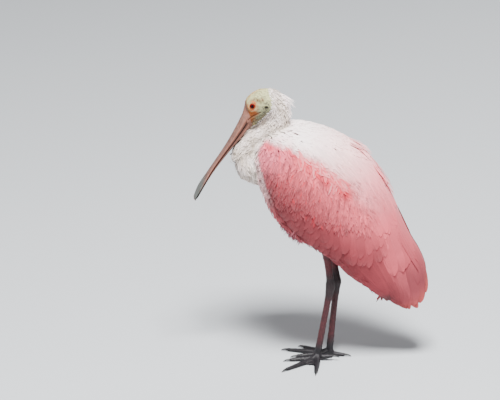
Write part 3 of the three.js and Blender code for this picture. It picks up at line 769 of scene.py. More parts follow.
def extruded(rings):
    """A closed bmesh through rings of points, made by extruding a first ring, and the order of its corners."""
    shape = bmesh.new()
    ring_corners = bmesh.ops.create_circle(shape, cap_ends=True, segments=len(rings[0]), radius=1)["verts"]
    order = list(ring_corners)
    edges = list(shape.edges)
    for corner, place in zip(ring_corners, rings[0]):
        corner.co = place
    for ring in rings[1:]:
        made = bmesh.ops.extrude_edge_only(shape, edges=edges)["geom"]
        new_corners = {g for g in made if isinstance(g, bmesh.types.BMVert)}
        edges = [g for g in made if isinstance(g, bmesh.types.BMEdge) and all(v in new_corners for v in g.verts)]
        ring_corners = [
            next(e.other_vert(old) for e in old.link_edges if e.other_vert(old) in new_corners)
            for old in ring_corners
        ]
        for corner, place in zip(ring_corners, ring):
            corner.co = place
        order += ring_corners
    bmesh.ops.contextual_create(shape, geom=edges)
    bmesh.ops.recalc_face_normals(shape, faces=shape.faces)
    shape.verts.index_update()
    return shape, [corner.index for corner in order]


# %% Mandibles
PINKISH_HORN = srgb(116, 84, 76)
DARK_HORN = srgb(128, 92, 80)
SPOON_GREY = srgb(92, 96, 92)
# A dark brown, painted as the shade in the gap between the mandibles.
BILL_GAP_SHADE = srgb(26, 12, 10)
NAIL_BROWN = srgb(150, 74, 30)
EDGE_PINK = srgb(190, 118, 96)
BILL_RINGS, ARCH_POINTS, FLOOR_POINTS = 84, 25, 9
RIDGE_OFF_GROOVE, RIDGE_OFF_NOSTRIL = 0.72, 0.62  # radians down from the ridge


def hump(value, middle, width):
    return math.exp(-((value - middle) / width) ** 2)


def arch_rise(place, turn, upward, height):
    """How high one mandible's arch stands at a turn from its left edge, in millimetres."""
    def grown(low, high):
        return float(ramp(place, low, high))

    rise = height * math.sin(turn) ** 0.8
    from_top = abs(turn - math.pi / 2)
    if upward:  # a groove runs down each side of the ridge, from the nostril to the spoon
        rise -= 0.45 * hump(from_top, RIDGE_OFF_GROOVE, 0.13) * grown(0.06, 0.12) * (1 - grown(0.8, 0.95))
        rise -= 1.5 * hump(from_top, RIDGE_OFF_NOSTRIL, 0.16) * hump(place, 0.085, 0.022)
        rise += 0.9 * grown(0.955, 0.975) * hump(from_top, 0, 0.9)
    rise -= 0.9 * grown(0.7, 0.86) * (1 - grown(0.93, 1)) * hump(from_top, 0, 0.75)
    return rise + 0.07 * math.sin(place * 400 + 3 * math.sin(turn * 3)) * (1 - grown(0.05, 0.45))


def mandible(name, upward, shorter, node):
    rings, places, turns = [], [], []
    for share in np.linspace(0, 1, BILL_RINGS):
        place = (1 - shorter) * share
        _, width, up_height, down_height = smooth_rows(BILL_FORM, share)
        _, y, z = smooth_rows(BILL_LINE, place)
        line_ends = [smooth_rows(BILL_LINE, p)[1:] for p in (max(place - 0.02, 0), min(place + 0.02, 1))]
        run = Vector((0, *(line_ends[1] - line_ends[0]))).normalized()
        up = Vector((0, run.z, -run.y)) * (1 if upward else -1)
        width -= 0 if upward else 0.6
        height = up_height if upward else down_height
        gap = (0.75 if upward else 0.35) * (1 - float(ramp(place, 0.955, 1)))
        ring = [
            (width * math.cos(turn), arch_rise(place, turn, upward, height) + gap, turn)
            for turn in (math.pi * k / (ARCH_POINTS - 1) for k in range(ARCH_POINTS))
        ]
        for k in range(1, FLOOR_POINTS + 1):
            ring.append((width * (2 * k / (FLOOR_POINTS + 1) - 1), gap - 0.1, -1))
        centre = Vector((0, y + BILL_Y_SHIFT, z))
        if upward:  # the nail hooks down over the lower mandible's tip
            centre -= up * 1.3 * float(ramp(place, 0.965, 1)) ** 2
        rings.append([(MIDLINE + across * MM, *((centre + up * rise) * MM).yz) for across, rise, _ in ring])
        places.extend([place] * len(ring))
        turns.extend([turn for _, _, turn in ring])
    shape, order = extruded(rings)
    given = np.array([p for ring in rings for p in ring])
    places, turns = np.array(places), np.array(turns)
    blotch = ramp(soft_noise(given * [1, 1, 1.6], 2.6 * MM, 11), 0.0, 0.35)
    from_edge = np.minimum(turns, math.pi - turns)
    colour = layered(
        DARK_HORN, given.shape, (PINKISH_HORN, ramp(places, 0.08, 0.3)), (SPOON_GREY, ramp(places, 0.66, 0.86)),
        (DARK_HORN * 0.5, blotch * (0.7 - 0.3 * ramp(places, 0.1, 0.5))),
    )
    colour = layered(
        colour * (1 + 0.3 * soft_noise(given * [1, 1, 1.6], 5 * MM, 12))[:, None], given.shape,
        (EDGE_PINK, 0.55 * (1 - ramp(from_edge, 0.1, 0.5)) * (turns >= 0) * (1 - ramp(places, 0.7, 0.9))),
        (NAIL_BROWN, 0.85 * ramp(places, 0.962, 0.978)),
        # Painted shade in the gap: each mandible's floor, which faces into it, and the edges beside it are
        # darkened.
        (BILL_GAP_SHADE, np.where(turns < 0, 1.0, 0.9 * (1 - ramp(from_edge, 0.05, 0.3)))),
    )
    painted = np.zeros_like(colour)
    painted[order] = colour
    piece = dress(new_piece(name, shape), painted, horn_finish, "bill", node)
    piece.data.set_sharp_from_angle(angle=math.radians(50))
    print(name, len(piece.data.polygons), "faces")


mandible("upper_mandible", True, 0, "bill_upper")
mandible("lower_mandible", False, 0.012, "bill_lower")

# %% [markdown]
# ## Where feathers lie
# A feather follows the body under it, so each one is walked over a smooth guide surface, step by step from its
# root. The neck, breast and belly use the skin itself. The back and wings use a shell like the solids' own, but
# left open behind, so that the long feathers run straight off its end instead of curling round it.

# %% Guide surfaces
class Guide:
    """A smooth surface to lay feathers on, with a normal that turns evenly from corner to corner."""

    def __init__(self, data):
        data.calc_loop_triangles()
        self.corners = [Vector(c) for c in corners_of(data)]
        self.normals = [Vector(n) for n in normals_of(data)]
        self.triangles = numbers(data.loop_triangles, "vertices", 3, np.int32)
        self.faces = self.triangles.tolist()
        self.tree = BVHTree.FromPolygons(self.corners, self.faces)

    def nearest(self, point):
        place, _, face, _ = self.tree.find_nearest(point)
        chosen = self.faces[face]
        weights = poly_3d_calc([self.corners[c] for c in chosen], place)
        normal = Vector((0, 0, 0))
        for corner, weight in zip(chosen, weights):
            normal += self.normals[corner] * weight
        return place, normal.normalized(), face, weights

    def from_side(self, along, out, side):
        """The point of the surface that is seen at this place in the side view."""
        start = Vector(body_point(along, out, side * 200))
        return self.tree.ray_cast(start, Vector((-side, 0, 0)))[0]


WING_SHELL = np.array([  # along, back, belly, half width
    (-117, 24, -10, 16), (-112, 36, -14, 38), (-104, 46, -25, 48), (-92, 60, -38, 55), (-76, 72.5, -50, 60),
    (-52, 86, -62, 65), (-22, 97, -74, 67.5), (12, 103, -82, 67), (50, 98, -82, 63), (90, 84, -72, 57),
    (125, 71, -66, 50), (160, 60, -62, 41.5), (190, 52, -56, 34), (213, 42, -48, 26), (236, 27, -42, 19),
    (256, 15, -38, 14), (300, -8, -36, 8),
])
SHELL_POWER = 2.35
SHELL_SIDES = 56


def shell_ring(along):
    _, back, belly, half = smooth_rows(WING_SHELL, along)
    grow = -0.3 - 1.6 * float(ramp(along, 120, 165))
    ring = []
    for k in range(SHELL_SIDES):
        turn = 2 * math.pi * k / SHELL_SIDES
        x = math.copysign(abs(math.cos(turn)) ** (2 / SHELL_POWER), math.cos(turn)) * (half + grow)
        up = math.copysign(abs(math.sin(turn)) ** (2 / SHELL_POWER), math.sin(turn))
        ring.append(body_point(along, (back + belly) / 2 + up * ((back - belly) / 2 + grow), x))
    return ring


# The guide is made straight from its rings, so that its corners come in the same order on each run.
shell_rings = [shell_ring(along) for along in np.linspace(-117, 298, 110)]
last = (len(shell_rings) - 1) * SHELL_SIDES
shell_faces = [list(range(SHELL_SIDES)), list(range(last + SHELL_SIDES - 1, last - 1, -1))]
for start in range(0, last, SHELL_SIDES):
    for k in range(SHELL_SIDES):
        corner, after = start + k, start + (k + 1) % SHELL_SIDES
        shell_faces.append([corner, corner + SHELL_SIDES, after + SHELL_SIDES, after])
shell_data = bpy.data.meshes.new("wing_guide")
shell_data.from_pydata([corner.tolist() for ring in shell_rings for corner in ring], [], shell_faces)
shell_guide = Guide(shell_data)
bpy.data.meshes.remove(shell_data)
skin_guide = Guide(skin.data)
print("guide faces:", len(shell_guide.faces), len(skin_guide.faces))

# %% [markdown]
# ## A map for baking
# When the model is exported, each feather's colour is baked into a small patch. The patches lie where the
# feathers' roots are on an unwrap of the skin, so a coarse copy of the skin is unwrapped to look them up.

# %% Unwrap a coarse copy of the skin
BAKE_PATCH = 0.003


class Unwrap:
    """Looks up places on an unwrap of a coarse copy of a piece."""

    def __init__(self, piece, keep):
        copy = linked("unwrap", piece.data.copy())
        copy.modifiers.new("coarse", "DECIMATE").ratio = keep
        apply_modifiers(copy)
        bpy.ops.object.select_all(action="DESELECT")
        copy.select_set(True)
        bpy.context.view_layer.objects.active = copy
        bpy.ops.object.mode_set(mode="EDIT")
        bpy.ops.mesh.select_all(action="SELECT")
        bpy.ops.uv.smart_project(angle_limit=math.radians(66), island_margin=0.004)
        bpy.ops.object.mode_set(mode="OBJECT")
        data = copy.data
        self.guide = Guide(data)
        loops = numbers(data.loop_triangles, "loops", 3, np.int32)
        self.uvs = numbers(data.uv_layers.active.data, "uv", 2)[loops]
        bpy.data.objects.remove(copy)

    def at(self, points):
        found = [self.guide.nearest(Vector(point))[2:] for point in points]
        return np.array([np.array(weights) @ self.uvs[face] for face, weights in found])


skin_unwrap = Unwrap(skin, 0.06)
print("unwrapped faces:", len(skin_unwrap.uvs))

# %% [markdown]
# ## Making feathers
# Every feather is a closed, thin vane. Its midline is walked over a guide, rising a little towards the tip so that
# it overlaps the next ones, and a ring of corners is set round each station of it. Thousands of them are joined
# into one mesh straight from arrays, which is the quick way for many small things.

# %% Scatter roots
def scatter(guide, wanted, spacing, seed):
    """Random roots on a guide, where wanted(points) is true, no closer than spacing in millimetres."""
    rng = np.random.default_rng(seed)
    places = np.array([c[:] for c in guide.corners])[guide.triangles]
    middle = places.mean(1)
    area = np.linalg.norm(np.cross(places[:, 1] - places[:, 0], places[:, 2] - places[:, 0]), axis=1) / 2
    gap = MM * (spacing(middle) if callable(spacing) else spacing)
    density = area * (wanted(middle) > 0) / gap**2
    count = int(density.sum() * 4)
    chosen = rng.choice(len(area), count, p=density / density.sum())
    a, b = rng.random((2, count, 1))
    flip = a + b > 1
    a, b = np.where(flip, 1 - a, a), np.where(flip, 1 - b, b)
    first, second, third = places[chosen].transpose(1, 0, 2)
    points = first + a * (second - first) + b * (third - first)
    reach = MM * (spacing(points) if callable(spacing) else np.full(count, spacing))
    widest = reach.max()
    cells, kept = {}, []
    for i, point in enumerate(points):
        cell = tuple((point // widest).astype(int))
        near = [
            j for dx in (-1, 0, 1) for dy in (-1, 0, 1) for dz in (-1, 0, 1)
            for j in cells.get((cell[0] + dx, cell[1] + dy, cell[2] + dz), ())
        ]
        if near and (np.linalg.norm(points[near] - point, axis=1) < reach[i]).any():
            continue
        cells.setdefault(cell, []).append(i)
        kept.append(i)
    return points[kept]


# %% Walk the midlines
def walk(guide, roots, headings, lengths, stations, bends):
    """Places and normals at each station of each feather, walked over the guide from its root."""
    places = np.zeros((len(roots), len(stations), 3))
    normals = np.zeros_like(places)
    for i, root in enumerate(roots):
        place, normal, _, _ = guide.nearest(Vector(root))
        heading = Vector(headings[i])
        heading = (heading - normal * heading.dot(normal)).normalized()
        places[i, 0], normals[i, 0] = place, normal
        for k in range(1, len(stations)):
            step = (stations[k] - stations[k - 1]) * lengths[i]
            heading = (heading + normal.cross(heading) * bends[i] * (stations[k] - stations[k - 1])).normalized()
            target = place + heading * step
            found, found_normal, _, _ = guide.nearest(target)
            if (found - place).length < 0.7 * step:
                found, found_normal = target, normal
            heading = (found - place).normalized()
            place, normal = found, found_normal
            places[i, k], normals[i, k] = place, normal
    return places, normals


# %% Make vanes round the midlines
def outline(across, heights):
    return np.array(across, float), np.array(heights, float)


TUFT_RING = outline([-1, 0, 1], [0, 1, 0])
VANE_RING = outline([-1, -0.5, 0, 0.5, 1, 0], [0, 0.6, 1, 0.6, 0, -0.4])
FLIGHT_RING = outline(
    [-1, -0.7, -0.35, -0.08, 0, 0.08, 0.35, 0.7, 1, 0], [0, 0.35, 0.5, 0.6, 1.5, 0.6, 0.5, 0.35, 0, -0.5],
)
POINTED = ([0, 0.35, 0.7, 1], [0.55, 1, 0.7, 0.06])
LOCK = ([0, 0.3, 0.6, 0.85, 1], [0.6, 1, 0.95, 0.6, 0.08])
LONG = (
    [0, 0.1, 0.2, 0.3, 0.4, 0.5, 0.6, 0.7, 0.78, 0.85, 0.91, 0.955, 0.985, 1],
    [0.3, 0.55, 0.75, 0.88, 0.96, 1, 1, 0.98, 0.93, 0.84, 0.68, 0.48, 0.27, 0.08],
)


def vanes(walked, style, ring, half_widths, lifts, thickness, camber, tilts, colours, unwrap):
    """Arrays of closed vanes along walked midlines. Lifts are one a feather and station, in metres."""
    places, normals = walked
    stations, shape = np.array(style[0]), np.array(style[1])
    across, heights = ring
    count, rows, points = len(places), len(stations), len(across)
    tangents = np.gradient(places, axis=1)
    sideways = np.cross(normals, tangents)
    sideways /= np.linalg.norm(sideways, axis=2, keepdims=True) + 1e-12
    normals = np.cross(tangents, sideways)
    normals /= np.linalg.norm(normals, axis=2, keepdims=True) + 1e-12
    offset = across * half_widths[:, None, None] * shape[None, :, None]
    slim = np.minimum(1, shape * 2.5)[None, :, None]
    rise = heights * thickness * slim - camber * offset**2 / 0.05
    rise = rise + tilts[:, None, None] * across * np.sin(np.pi * np.clip(stations, 0, 0.5))[None, :, None]
    rise = rise + lifts[:, :, None]
    corners = places[:, :, None] + sideways[:, :, None] * offset[..., None]
    corners = corners + normals[:, :, None] * rise[..., None]
    steps = np.linalg.norm(np.diff(places, axis=1), axis=2)
    length = np.concatenate([np.zeros((count, 1)), steps.cumsum(1)], axis=1)
    vane_uv = np.stack([offset, length[:, :, None] + 0.9 * np.abs(offset)], axis=-1)
    patch = np.stack(np.broadcast_arrays(across[None, :] / 2, stations[:, None] - 0.5), axis=-1)
    bake_uv = unwrap.at(places[:, 0])[:, None, None] + 0.95 * BAKE_PATCH * patch
    first = np.arange(count)[:, None, None] * rows * points
    row = np.arange(rows - 1)[None, :, None] * points
    k = np.arange(points)
    after = (k + 1) % points
    quads = np.stack([first + row + j for j in (k, after, points + after, points + k)], axis=-1)
    starts = k[::-1] + first[:, 0]
    ends = k + first[:, 0] + (rows - 1) * points
    return {
        "corners": corners.reshape(-1, 3), "vane": vane_uv.reshape(-1, 2), "OFBake": bake_uv.reshape(-1, 2),
        "tint": np.broadcast_to(colours[:, :, None], corners.shape).reshape(-1, 3),
        "faces": [quads.reshape(-1, 4), starts, ends],
    }


def varied(rng, count, share):
    """Factors round 1, spread by share."""
    return 1 + share * rng.standard_normal(count)


def lay(
    guide, roots, headings, lengths, half_widths, rng, lift, style=LOCK, ring=TUFT_RING, thickness=0.5,
    shaggy=0.1, jitter=0.05, bend=0.2, tilt=0.0, camber=0.35, pale_tip=0.0, dark_root=0.12,
    colour=plumage_colour, locks=1, spread=0.3,
):
    """Feathers from roots over a guide. With several locks, each is a fan of them, which frays its edge."""
    stations = np.array(style[0])
    lengths, half_widths = MM * lengths, MM * half_widths
    shade = 1 + jitter * np.clip(rng.standard_normal(len(roots)), -2, 2)
    if locks > 1:
        up = np.array([guide.nearest(Vector(r))[1][:] for r in roots])
        sideways = np.cross(up, headings)
        turn = np.tile(np.linspace(-1, 1, locks), len(roots)) + 0.25 * rng.standard_normal(len(roots) * locks)
        roots, headings, sideways, lengths, half_widths, shade = (
            np.repeat(a, locks, axis=0) for a in (roots, headings, sideways, lengths, half_widths, shade)
        )
        roots = roots + sideways * (0.3 * turn * half_widths)[:, None]
        headings = headings + sideways * (spread * turn)[:, None]
        lengths = lengths * (1 - 0.22 * turn**2) * varied(rng, len(turn), 0.05)
        half_widths = half_widths * 1.5 / locks
        shade = shade * varied(rng, len(turn), 0.02)
    count = len(roots)
    walked = walk(guide, roots, headings, lengths, style[0], bend * rng.standard_normal(count))
    tint = colour(walked[0]) * shade[:, None, None]
    # Painted shade: each feather darkens towards its root, where the feathers over it shade it.
    tint = tint * (1 - dark_root * (1 - ramp(stations, 0.3, 0.9)))[None, :, None]
    tint = mixed(tint, PALE_PINK, pale_tip * np.broadcast_to(ramp(stations, 0.8, 1), tint.shape[:2]))
    lifts = MM * (lift[0] + (lift[1] - lift[0]) * stations**1.1)[None, :] * varied(rng, (count, 1), shaggy)
    tilts = MM * (tilt + 0.15 * rng.standard_normal(count))
    tint = np.clip(tint, 0, 1)
    return vanes(walked, style, ring, half_widths, lifts, thickness * MM, camber, tilts, tint, skin_unwrap)


def feather_piece(name, batches, material):
    """One mesh of many feathers."""
    maps = {key: np.concatenate([b[key] for b in batches]) for key in ("corners", "tint", "vane", "OFBake")}
    loops, sizes, offset = [], [], 0
    for batch in batches:
        for faces in batch["faces"]:
            loops.append((faces + offset).ravel())
            sizes.append(np.full(len(faces), faces.shape[1]))
        offset += len(batch["corners"])
    loops, sizes = np.concatenate(loops), np.concatenate(sizes)
    data = bpy.data.meshes.new(name)
    data.vertices.add(offset)
    data.vertices.foreach_set("co", maps["corners"].astype(np.float32).ravel())
    data.loops.add(len(loops))
    data.loops.foreach_set("vertex_index", loops.astype(np.int32))
    data.polygons.add(len(sizes))
    data.polygons.foreach_set("loop_start", np.concatenate([[0], sizes.cumsum()[:-1]]).astype(np.int32))
    data.update(calc_edges=True)
    for key in ("OFBake", "vane"):
        data.uv_layers.new(name=key).data.foreach_set("uv", maps[key][loops].astype(np.float32).ravel())
    paint(data, maps["tint"])
    data.set_sharp_from_angle(angle=math.radians(75))
    data.materials.append(material)
    piece = linked(name, data)
    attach(piece, "root")
    print(f"{name}: {sum(len(b['faces'][1]) for b in batches)} vanes, {int((sizes - 2).sum())} triangles")
    return piece


feather_finish = finish(
    "soft_feather", 0.9, 1.0, 0.07, 1.0, 0.3, 0.0003, uv=("vane", (160, 1500, 1)),
    Specular_IOR_Level=0.15, Sheen_Weight=0.25, Sheen_Roughness=0.5,
)
flight_finish = finish(
    "smooth_feather", 0.75, 1.0, 0.08, 1.0, 0.35, 0.0003, uv=("vane", (120, 1300, 1)),
    Specular_IOR_Level=0.2, Sheen_Weight=0.15, Sheen_Roughness=0.5,
)
print("feather tools ready")

# %% [markdown]
# ## The folded wing
# The wing is laid out as the bird has it: small soft coverts at the shoulder, rows of median coverts, long greater
# coverts that run over its lower edge in front, then the flight feathers, which lie along that edge behind. Rows
# are given by the line of their tips in the side view, and each feather's root is found from its tip.

# %% Lie of the wing feathers
def wing_turn(along, out):
    """How many degrees a wing feather points away from tailward, towards the belly."""
    above = out - np.interp(along, *UPPER_LINE.T)
    turn = np.interp(along, [-110, -60, 0, 60, 120, 180, 240], [62, 57, 51, 43, 34, 24, 14])
    return turn * ramp(-above, -14, 30) + 4


def heading_of(turn, spread=0.0):
    """A direction in the bird's frame: turn degrees from tailward towards the belly, leaning out by spread."""
    turn = np.radians(np.asarray(turn, float))
    direction = np.cos(turn)[..., None] * TAILWARD - np.sin(turn)[..., None] * BACKWARD
    return direction + np.asarray(spread, float)[..., None] * np.array([1.0, 0, 0])


def row(line, spacing, length, half_width, turn, side, rng, start=0.0, back=0.0, **more):
    """Feathers of one row. Turn, and length, go evenly from the line's start to its end."""
    line = np.array(line, float)
    reached = np.concatenate([[0], np.hypot(*np.diff(line, axis=0).T).cumsum()])
    at = np.arange(start, reached[-1] + 0.1, spacing)
    share = at / reached[-1]
    at = at + 0.18 * spacing * rng.standard_normal(len(at))
    turns = np.interp(share, np.linspace(0, 1, len(turn)), turn) + 2 * rng.standard_normal(len(at))
    lengths = np.interp(share, np.linspace(0, 1, len(length)), length) * varied(rng, len(at), 0.04)
    reaches = lengths + back + 1.5 * rng.standard_normal(len(at))
    roots, kept = [], []
    for i, (place, angle, reach) in enumerate(zip(at, np.radians(turns), reaches)):
        along = np.interp(place, reached, line[:, 0]) - math.cos(angle) * reach
        out = np.interp(place, reached, line[:, 1]) + math.sin(angle) * reach
        root = shell_guide.from_side(along, out, side)
        if root is not None:
            roots.append(root[:])
            kept.append(i)
    widths = half_width * varied(rng, len(kept), 0.06)
    more = {"style": LONG, "ring": FLIGHT_RING, "tilt": 0.6 * side, "bend": 0.05, "thickness": 0.35, **more}
    return lay(shell_guide, np.array(roots), heading_of(turns[kept]), lengths[kept], widths, rng, **more)


# %% Coverts and flight feathers
MEDIAN_TIPS = [(-80, -38), (-39, -36), (-16, -27), (6, -18), (37, -6), (62, 10), (80, 28), (86, 44)]
GREATER_TIPS = [
    (-66, -31), (-38, -44), (-7, -53), (24, -56), (62, -51), (95, -43), (122, -28), (140, -12), (148, 0),
    (146, 24), (142, 42),
]
EDGE_TIPS = [(70, -46), (110, -42), (150, -41), (185, -41), (203, -40)]
FLIGHT_TIPS = [(215, -39), (226, -31), (246, -24), (256, -16), (258, -2)]


def lesser_ground(points):
    along, out, across, above, below, y, z = side_places(points)
    front = np.interp(along, [-120, -70, -39, 6, 37, 62, 86], [-60, -40, -28, -4, 8, 24, 46])
    inside = (above < 6) & (out > front) & (below < -2) & (along < 80)
    return inside & (y > wing_front(z) - 7) & (np.abs(across) > 24)


for side_name, side, seed in (("left", 1, 11), ("right", -1, 12)):
    rng = np.random.default_rng(seed)
    flight = [
        row(EDGE_TIPS, 11, [80, 110], 11, [20, 6], side, rng, lift=(0.1, 0.5)),
        row(FLIGHT_TIPS, 6, [150, 135], 10.5, [5, 14], side, rng, lift=(0.3, 0.9)),
        row([(210, -37), (211, -37)], 5, [90], 5.5, [13], side, rng, style=POINTED, lift=(0.2, 0.4)),
        row([(196, -38), (226, -20), (240, -6)], 9, [110], 11, [9, 18], side, rng, lift=(0.7, 1.2)),
    ]
    feather_piece(f"flight_feathers_{side_name}", flight, flight_finish)
    coverts = [
        row(GREATER_TIPS, 11, [60, 66, 74, 78, 76], 10.5, [56, 50, 42, 33, 15], side, rng,
            lift=(0.8, 1.7), pale_tip=0.04),
        row(GREATER_TIPS, 12, [44, 50, 54, 56, 54], 10.5, [56, 50, 43, 34, 16], side, rng, start=60, back=20,
            lift=(1.1, 1.9), pale_tip=0.03),
    ]
    for step in range(4):
        coverts.append(row(
            MEDIAN_TIPS, 11, [32 - step, 36 - step], 9.5 - 0.4 * step, [58, 52, 44, 32], side, rng,
            start=5.5 * (step % 2), back=11 * step, style=LOCK, ring=TUFT_RING, lift=(0.9, 2.9), thickness=0.6,
            jitter=0.08, locks=7, spread=0.1, shaggy=0.05, pale_tip=0.14, bend=0.12, dark_root=0.5,
        ))
    roots = scatter(shell_guide, lambda p: lesser_ground(p) & (side * (p[..., 0] - MIDLINE) > 0), 4.6, seed)
    along, out, _ = body_places(roots)
    coverts.append(lay(
        shell_guide, roots, heading_of(wing_turn(along, out) + 9 * rng.standard_normal(len(roots))),
        np.interp(along, [-115, -60, 60], [13, 20, 26]) * varied(rng, len(roots), 0.12),
        np.interp(along, [-115, -60, 60], [4.8, 6.4, 7.6]), rng, lift=(0.6, 2.6), jitter=0.08, locks=5,
        spread=0.18, shaggy=0.2, pale_tip=0.14, bend=0.3, dark_root=0.36,
    ))
    feather_piece(f"covert_feathers_{side_name}", coverts, feather_finish)

# %% [markdown]
# ## Scapulars and tertials
# The long pale feathers of the shoulder lie over the wing's base, and the longest of all, the tertials, over the
# folded flight feathers. A few stray ones stand off the back.

# %% Scapulars and tertials
TERTIAL_TIPS = [(244, -14), (255, -2), (253, 13), (233, 23), (218, 32), (208, 41)]
SHORT_TERTIALS = [(186, 6), (192, 20), (186, 36), (176, 48), (164, 58)]
TERTIAL_COVERTS = [(112, 38), (124, 48), (122, 62), (114, 76), (102, 90)]
SCAPULAR_TIPS = [(58, 50), (77, 48), (92, 56), (98, 68), (94, 84), (86, 96)]
for side_name, side, seed in (("left", 1, 31), ("right", -1, 32)):
    rng = np.random.default_rng(seed)
    long = [
        row(TERTIAL_TIPS, 10, [112, 120], 13.5, [25, 22, 20], side, rng, lift=(0.8, 1.5), tilt=side),
        row([(208, 42), (210, 43)], 5, [84], 5.5, [13], side, rng, style=POINTED, lift=(2.0, 4.5)),
        row([(198, 52), (200, 52)], 5, [76], 5, [10], side, rng, style=POINTED, lift=(2.0, 4.0)),
        row([(246, 14), (248, 15)], 5, [90], 5, [20], side, rng, style=POINTED, lift=(0.6, 1.2)),
        row(SHORT_TERTIALS, 11, [90, 84], 12.5, [25, 21, 18], side, rng, lift=(1.3, 2.1), tilt=0.9 * side),
        row(TERTIAL_COVERTS, 9, [60], 9.5, [20, 14], side, rng, lift=(1.5, 2.6), tilt=0.8 * side),
    ]
    feather_piece(f"tertials_{side_name}", long, flight_finish)
    soft = []
    for step in range(6):
        soft.append(row(
            SCAPULAR_TIPS, 9, [50, 62], 9, [9, 4, 10], side, rng, start=4.5 * (step % 2), back=14 * step,
            lift=(0.8, 2.2), style=LOCK, ring=TUFT_RING, thickness=0.6, jitter=0.035, locks=8, spread=0.1,
            shaggy=0.15, bend=0.15,
        ))
    feather_piece(f"scapular_feathers_{side_name}", soft, feather_finish)

# %% [markdown]
# ## Soft feathers of the body
# Mantle, breast and belly have small soft feathers, scattered no closer than a set spacing, so that they overlap
# like shingles with no rows to see.

# %% Mantle, breast and belly
def mantle_ground(points):
    along, out, across, above, _, y, z = side_places(points)
    ridge = np.interp(along, [60, 110, 160, 200], [40, 28, 20, 14])
    on_back = (along < 64) | ((along < 200) & (np.abs(across) < ridge) & (out > 5))
    return (above > -2) & on_back & (along > -118) & (y > wing_front(z) - 9)


rng = np.random.default_rng(41)
roots = scatter(shell_guide, mantle_ground, 5.0, 41)
along, _, across = body_places(roots)
turn = 7 * rng.standard_normal(len(roots)) + 10 * ramp(np.abs(across), 20, 60)
mantle = lay(
    shell_guide, roots, heading_of(turn, 0.2 * np.clip(across / 50, -1, 1)),
    np.interp(along, [-115, -70, 60, 150], [15, 22, 34, 46]) * varied(rng, len(roots), 0.12),
    np.interp(along, [-115, -70, 60], [4.2, 6, 8]), rng, lift=(0.2, 1.3), jitter=0.03, locks=5, spread=0.18,
    shaggy=0.25, bend=0.3, dark_root=0.08,
)
feather_piece("mantle_feathers", [mantle], feather_finish)


def under_ground(points):
    """Breast, belly, flanks and vent: the skin that the wings and neck leave free."""
    along, out, across, _, below, y, z = side_places(points)
    roof = np.interp(along, [-125, -100, 60, 130, 200, 260], [22, 4, -30, -36, -30, -24])
    inside_wings = (np.abs(across) < 30) & (out < roof)
    ahead = (y < wing_front(z) + 2) & (z < 262)
    behind_neck = (y > wing_front(z) - 2) | (z < 262)
    top = np.where(inside_wings, 386, 345)
    return ((below > -3) | inside_wings | ahead) & behind_neck & (along < 225) & (z < top)


rng = np.random.default_rng(42)
roots = scatter(skin_guide, under_ground, 4.8, 42)
along = body_places(roots)[0]
turn = 8 * rng.standard_normal(len(roots)) + np.interp(along, [-120, -60, 20, 100], [24, 14, 4, 0])
under = lay(
    skin_guide, roots, heading_of(turn, 0.08 * rng.standard_normal(len(roots))),
    np.interp(along, [-115, -75, -40, 200], [11, 15, 24, 28]) * varied(rng, len(roots), 0.12),
    np.interp(along, [-115, -40, 200], [4.2, 6, 7]), rng, lift=(0.5, 3.4), jitter=0.08, locks=5, spread=0.2,
    shaggy=0.3, bend=0.3, dark_root=0.15,
)
feather_piece("belly_feathers", [under], feather_finish)

# %% [markdown]
# ## The shaggy neck
# Neck and nape have narrow, loose feathers that part into locks. They are pointed tufts, short at the face and
# longer down the neck, each white, cream or a shade greyer than its neighbours.

# %% Neck and nape
def neck_ground(points):
    y, z = points[..., 1] / MM, points[..., 2] / MM
    nape = np.where(z > 372, np.interp(z, [372, 395, 450], [-66, -12, 0]), -200)
    return (y < np.maximum(wing_front(z) + 2, nape)) & (z > 256) & (bareness(points) < 0.4)


def neck_heading(points):
    """Down the nape, then forwards and down to the bulge, and hanging back and down under it."""
    y, z = points[:, 1] / MM, points[:, 2] / MM
    upper = z - np.interp(y, [-122, -105, -75, -40, -20], [336, 345, 366, 386, 392])
    return layered(
        [0, -0.25, -1.0], points.shape, ([0, -0.75, -0.8], ramp(395 - z, 0, 25)),
        ([0, 0.55, -0.85], ramp(-upper, -2, 8)), ([0, 0.45, -1.0], ramp(320 - z, 0, 25)),
        ([0, 0.75, -0.65], 0.9 * ramp(z, 405, 425) * ramp(y, -64, -50)),
    )


BEIGE = srgb(150, 130, 104)


def neck_colour(places):
    """Cream and white, with beige and grey locks between, more of them near the face, and in the fold as painted
    shade.
    """
    roots = places[:, 0]
    y, z = roots[:, 1] / MM, roots[:, 2] / MM
    share = 0.42 + 0.6 * soft_noise(roots, 6 * MM, 23) + 0.35 * rng.standard_normal(len(roots))
    # Painted shade: more beige along the fold where the neck meets the body.
    share += 0.35 * near_path(y, z, [(-33, 394), (-60, 378), (-92, 359)], 12)
    share += 0.3 * ramp(bareness(roots + [0, -9 * MM, 0]), 0, 1)
    share = np.clip(share, 0, 1)[:, None] * np.linspace(1, 0.45, places.shape[1])[None, :]
    return mixed(plumage_colour(places), BEIGE, 0.7 * share)


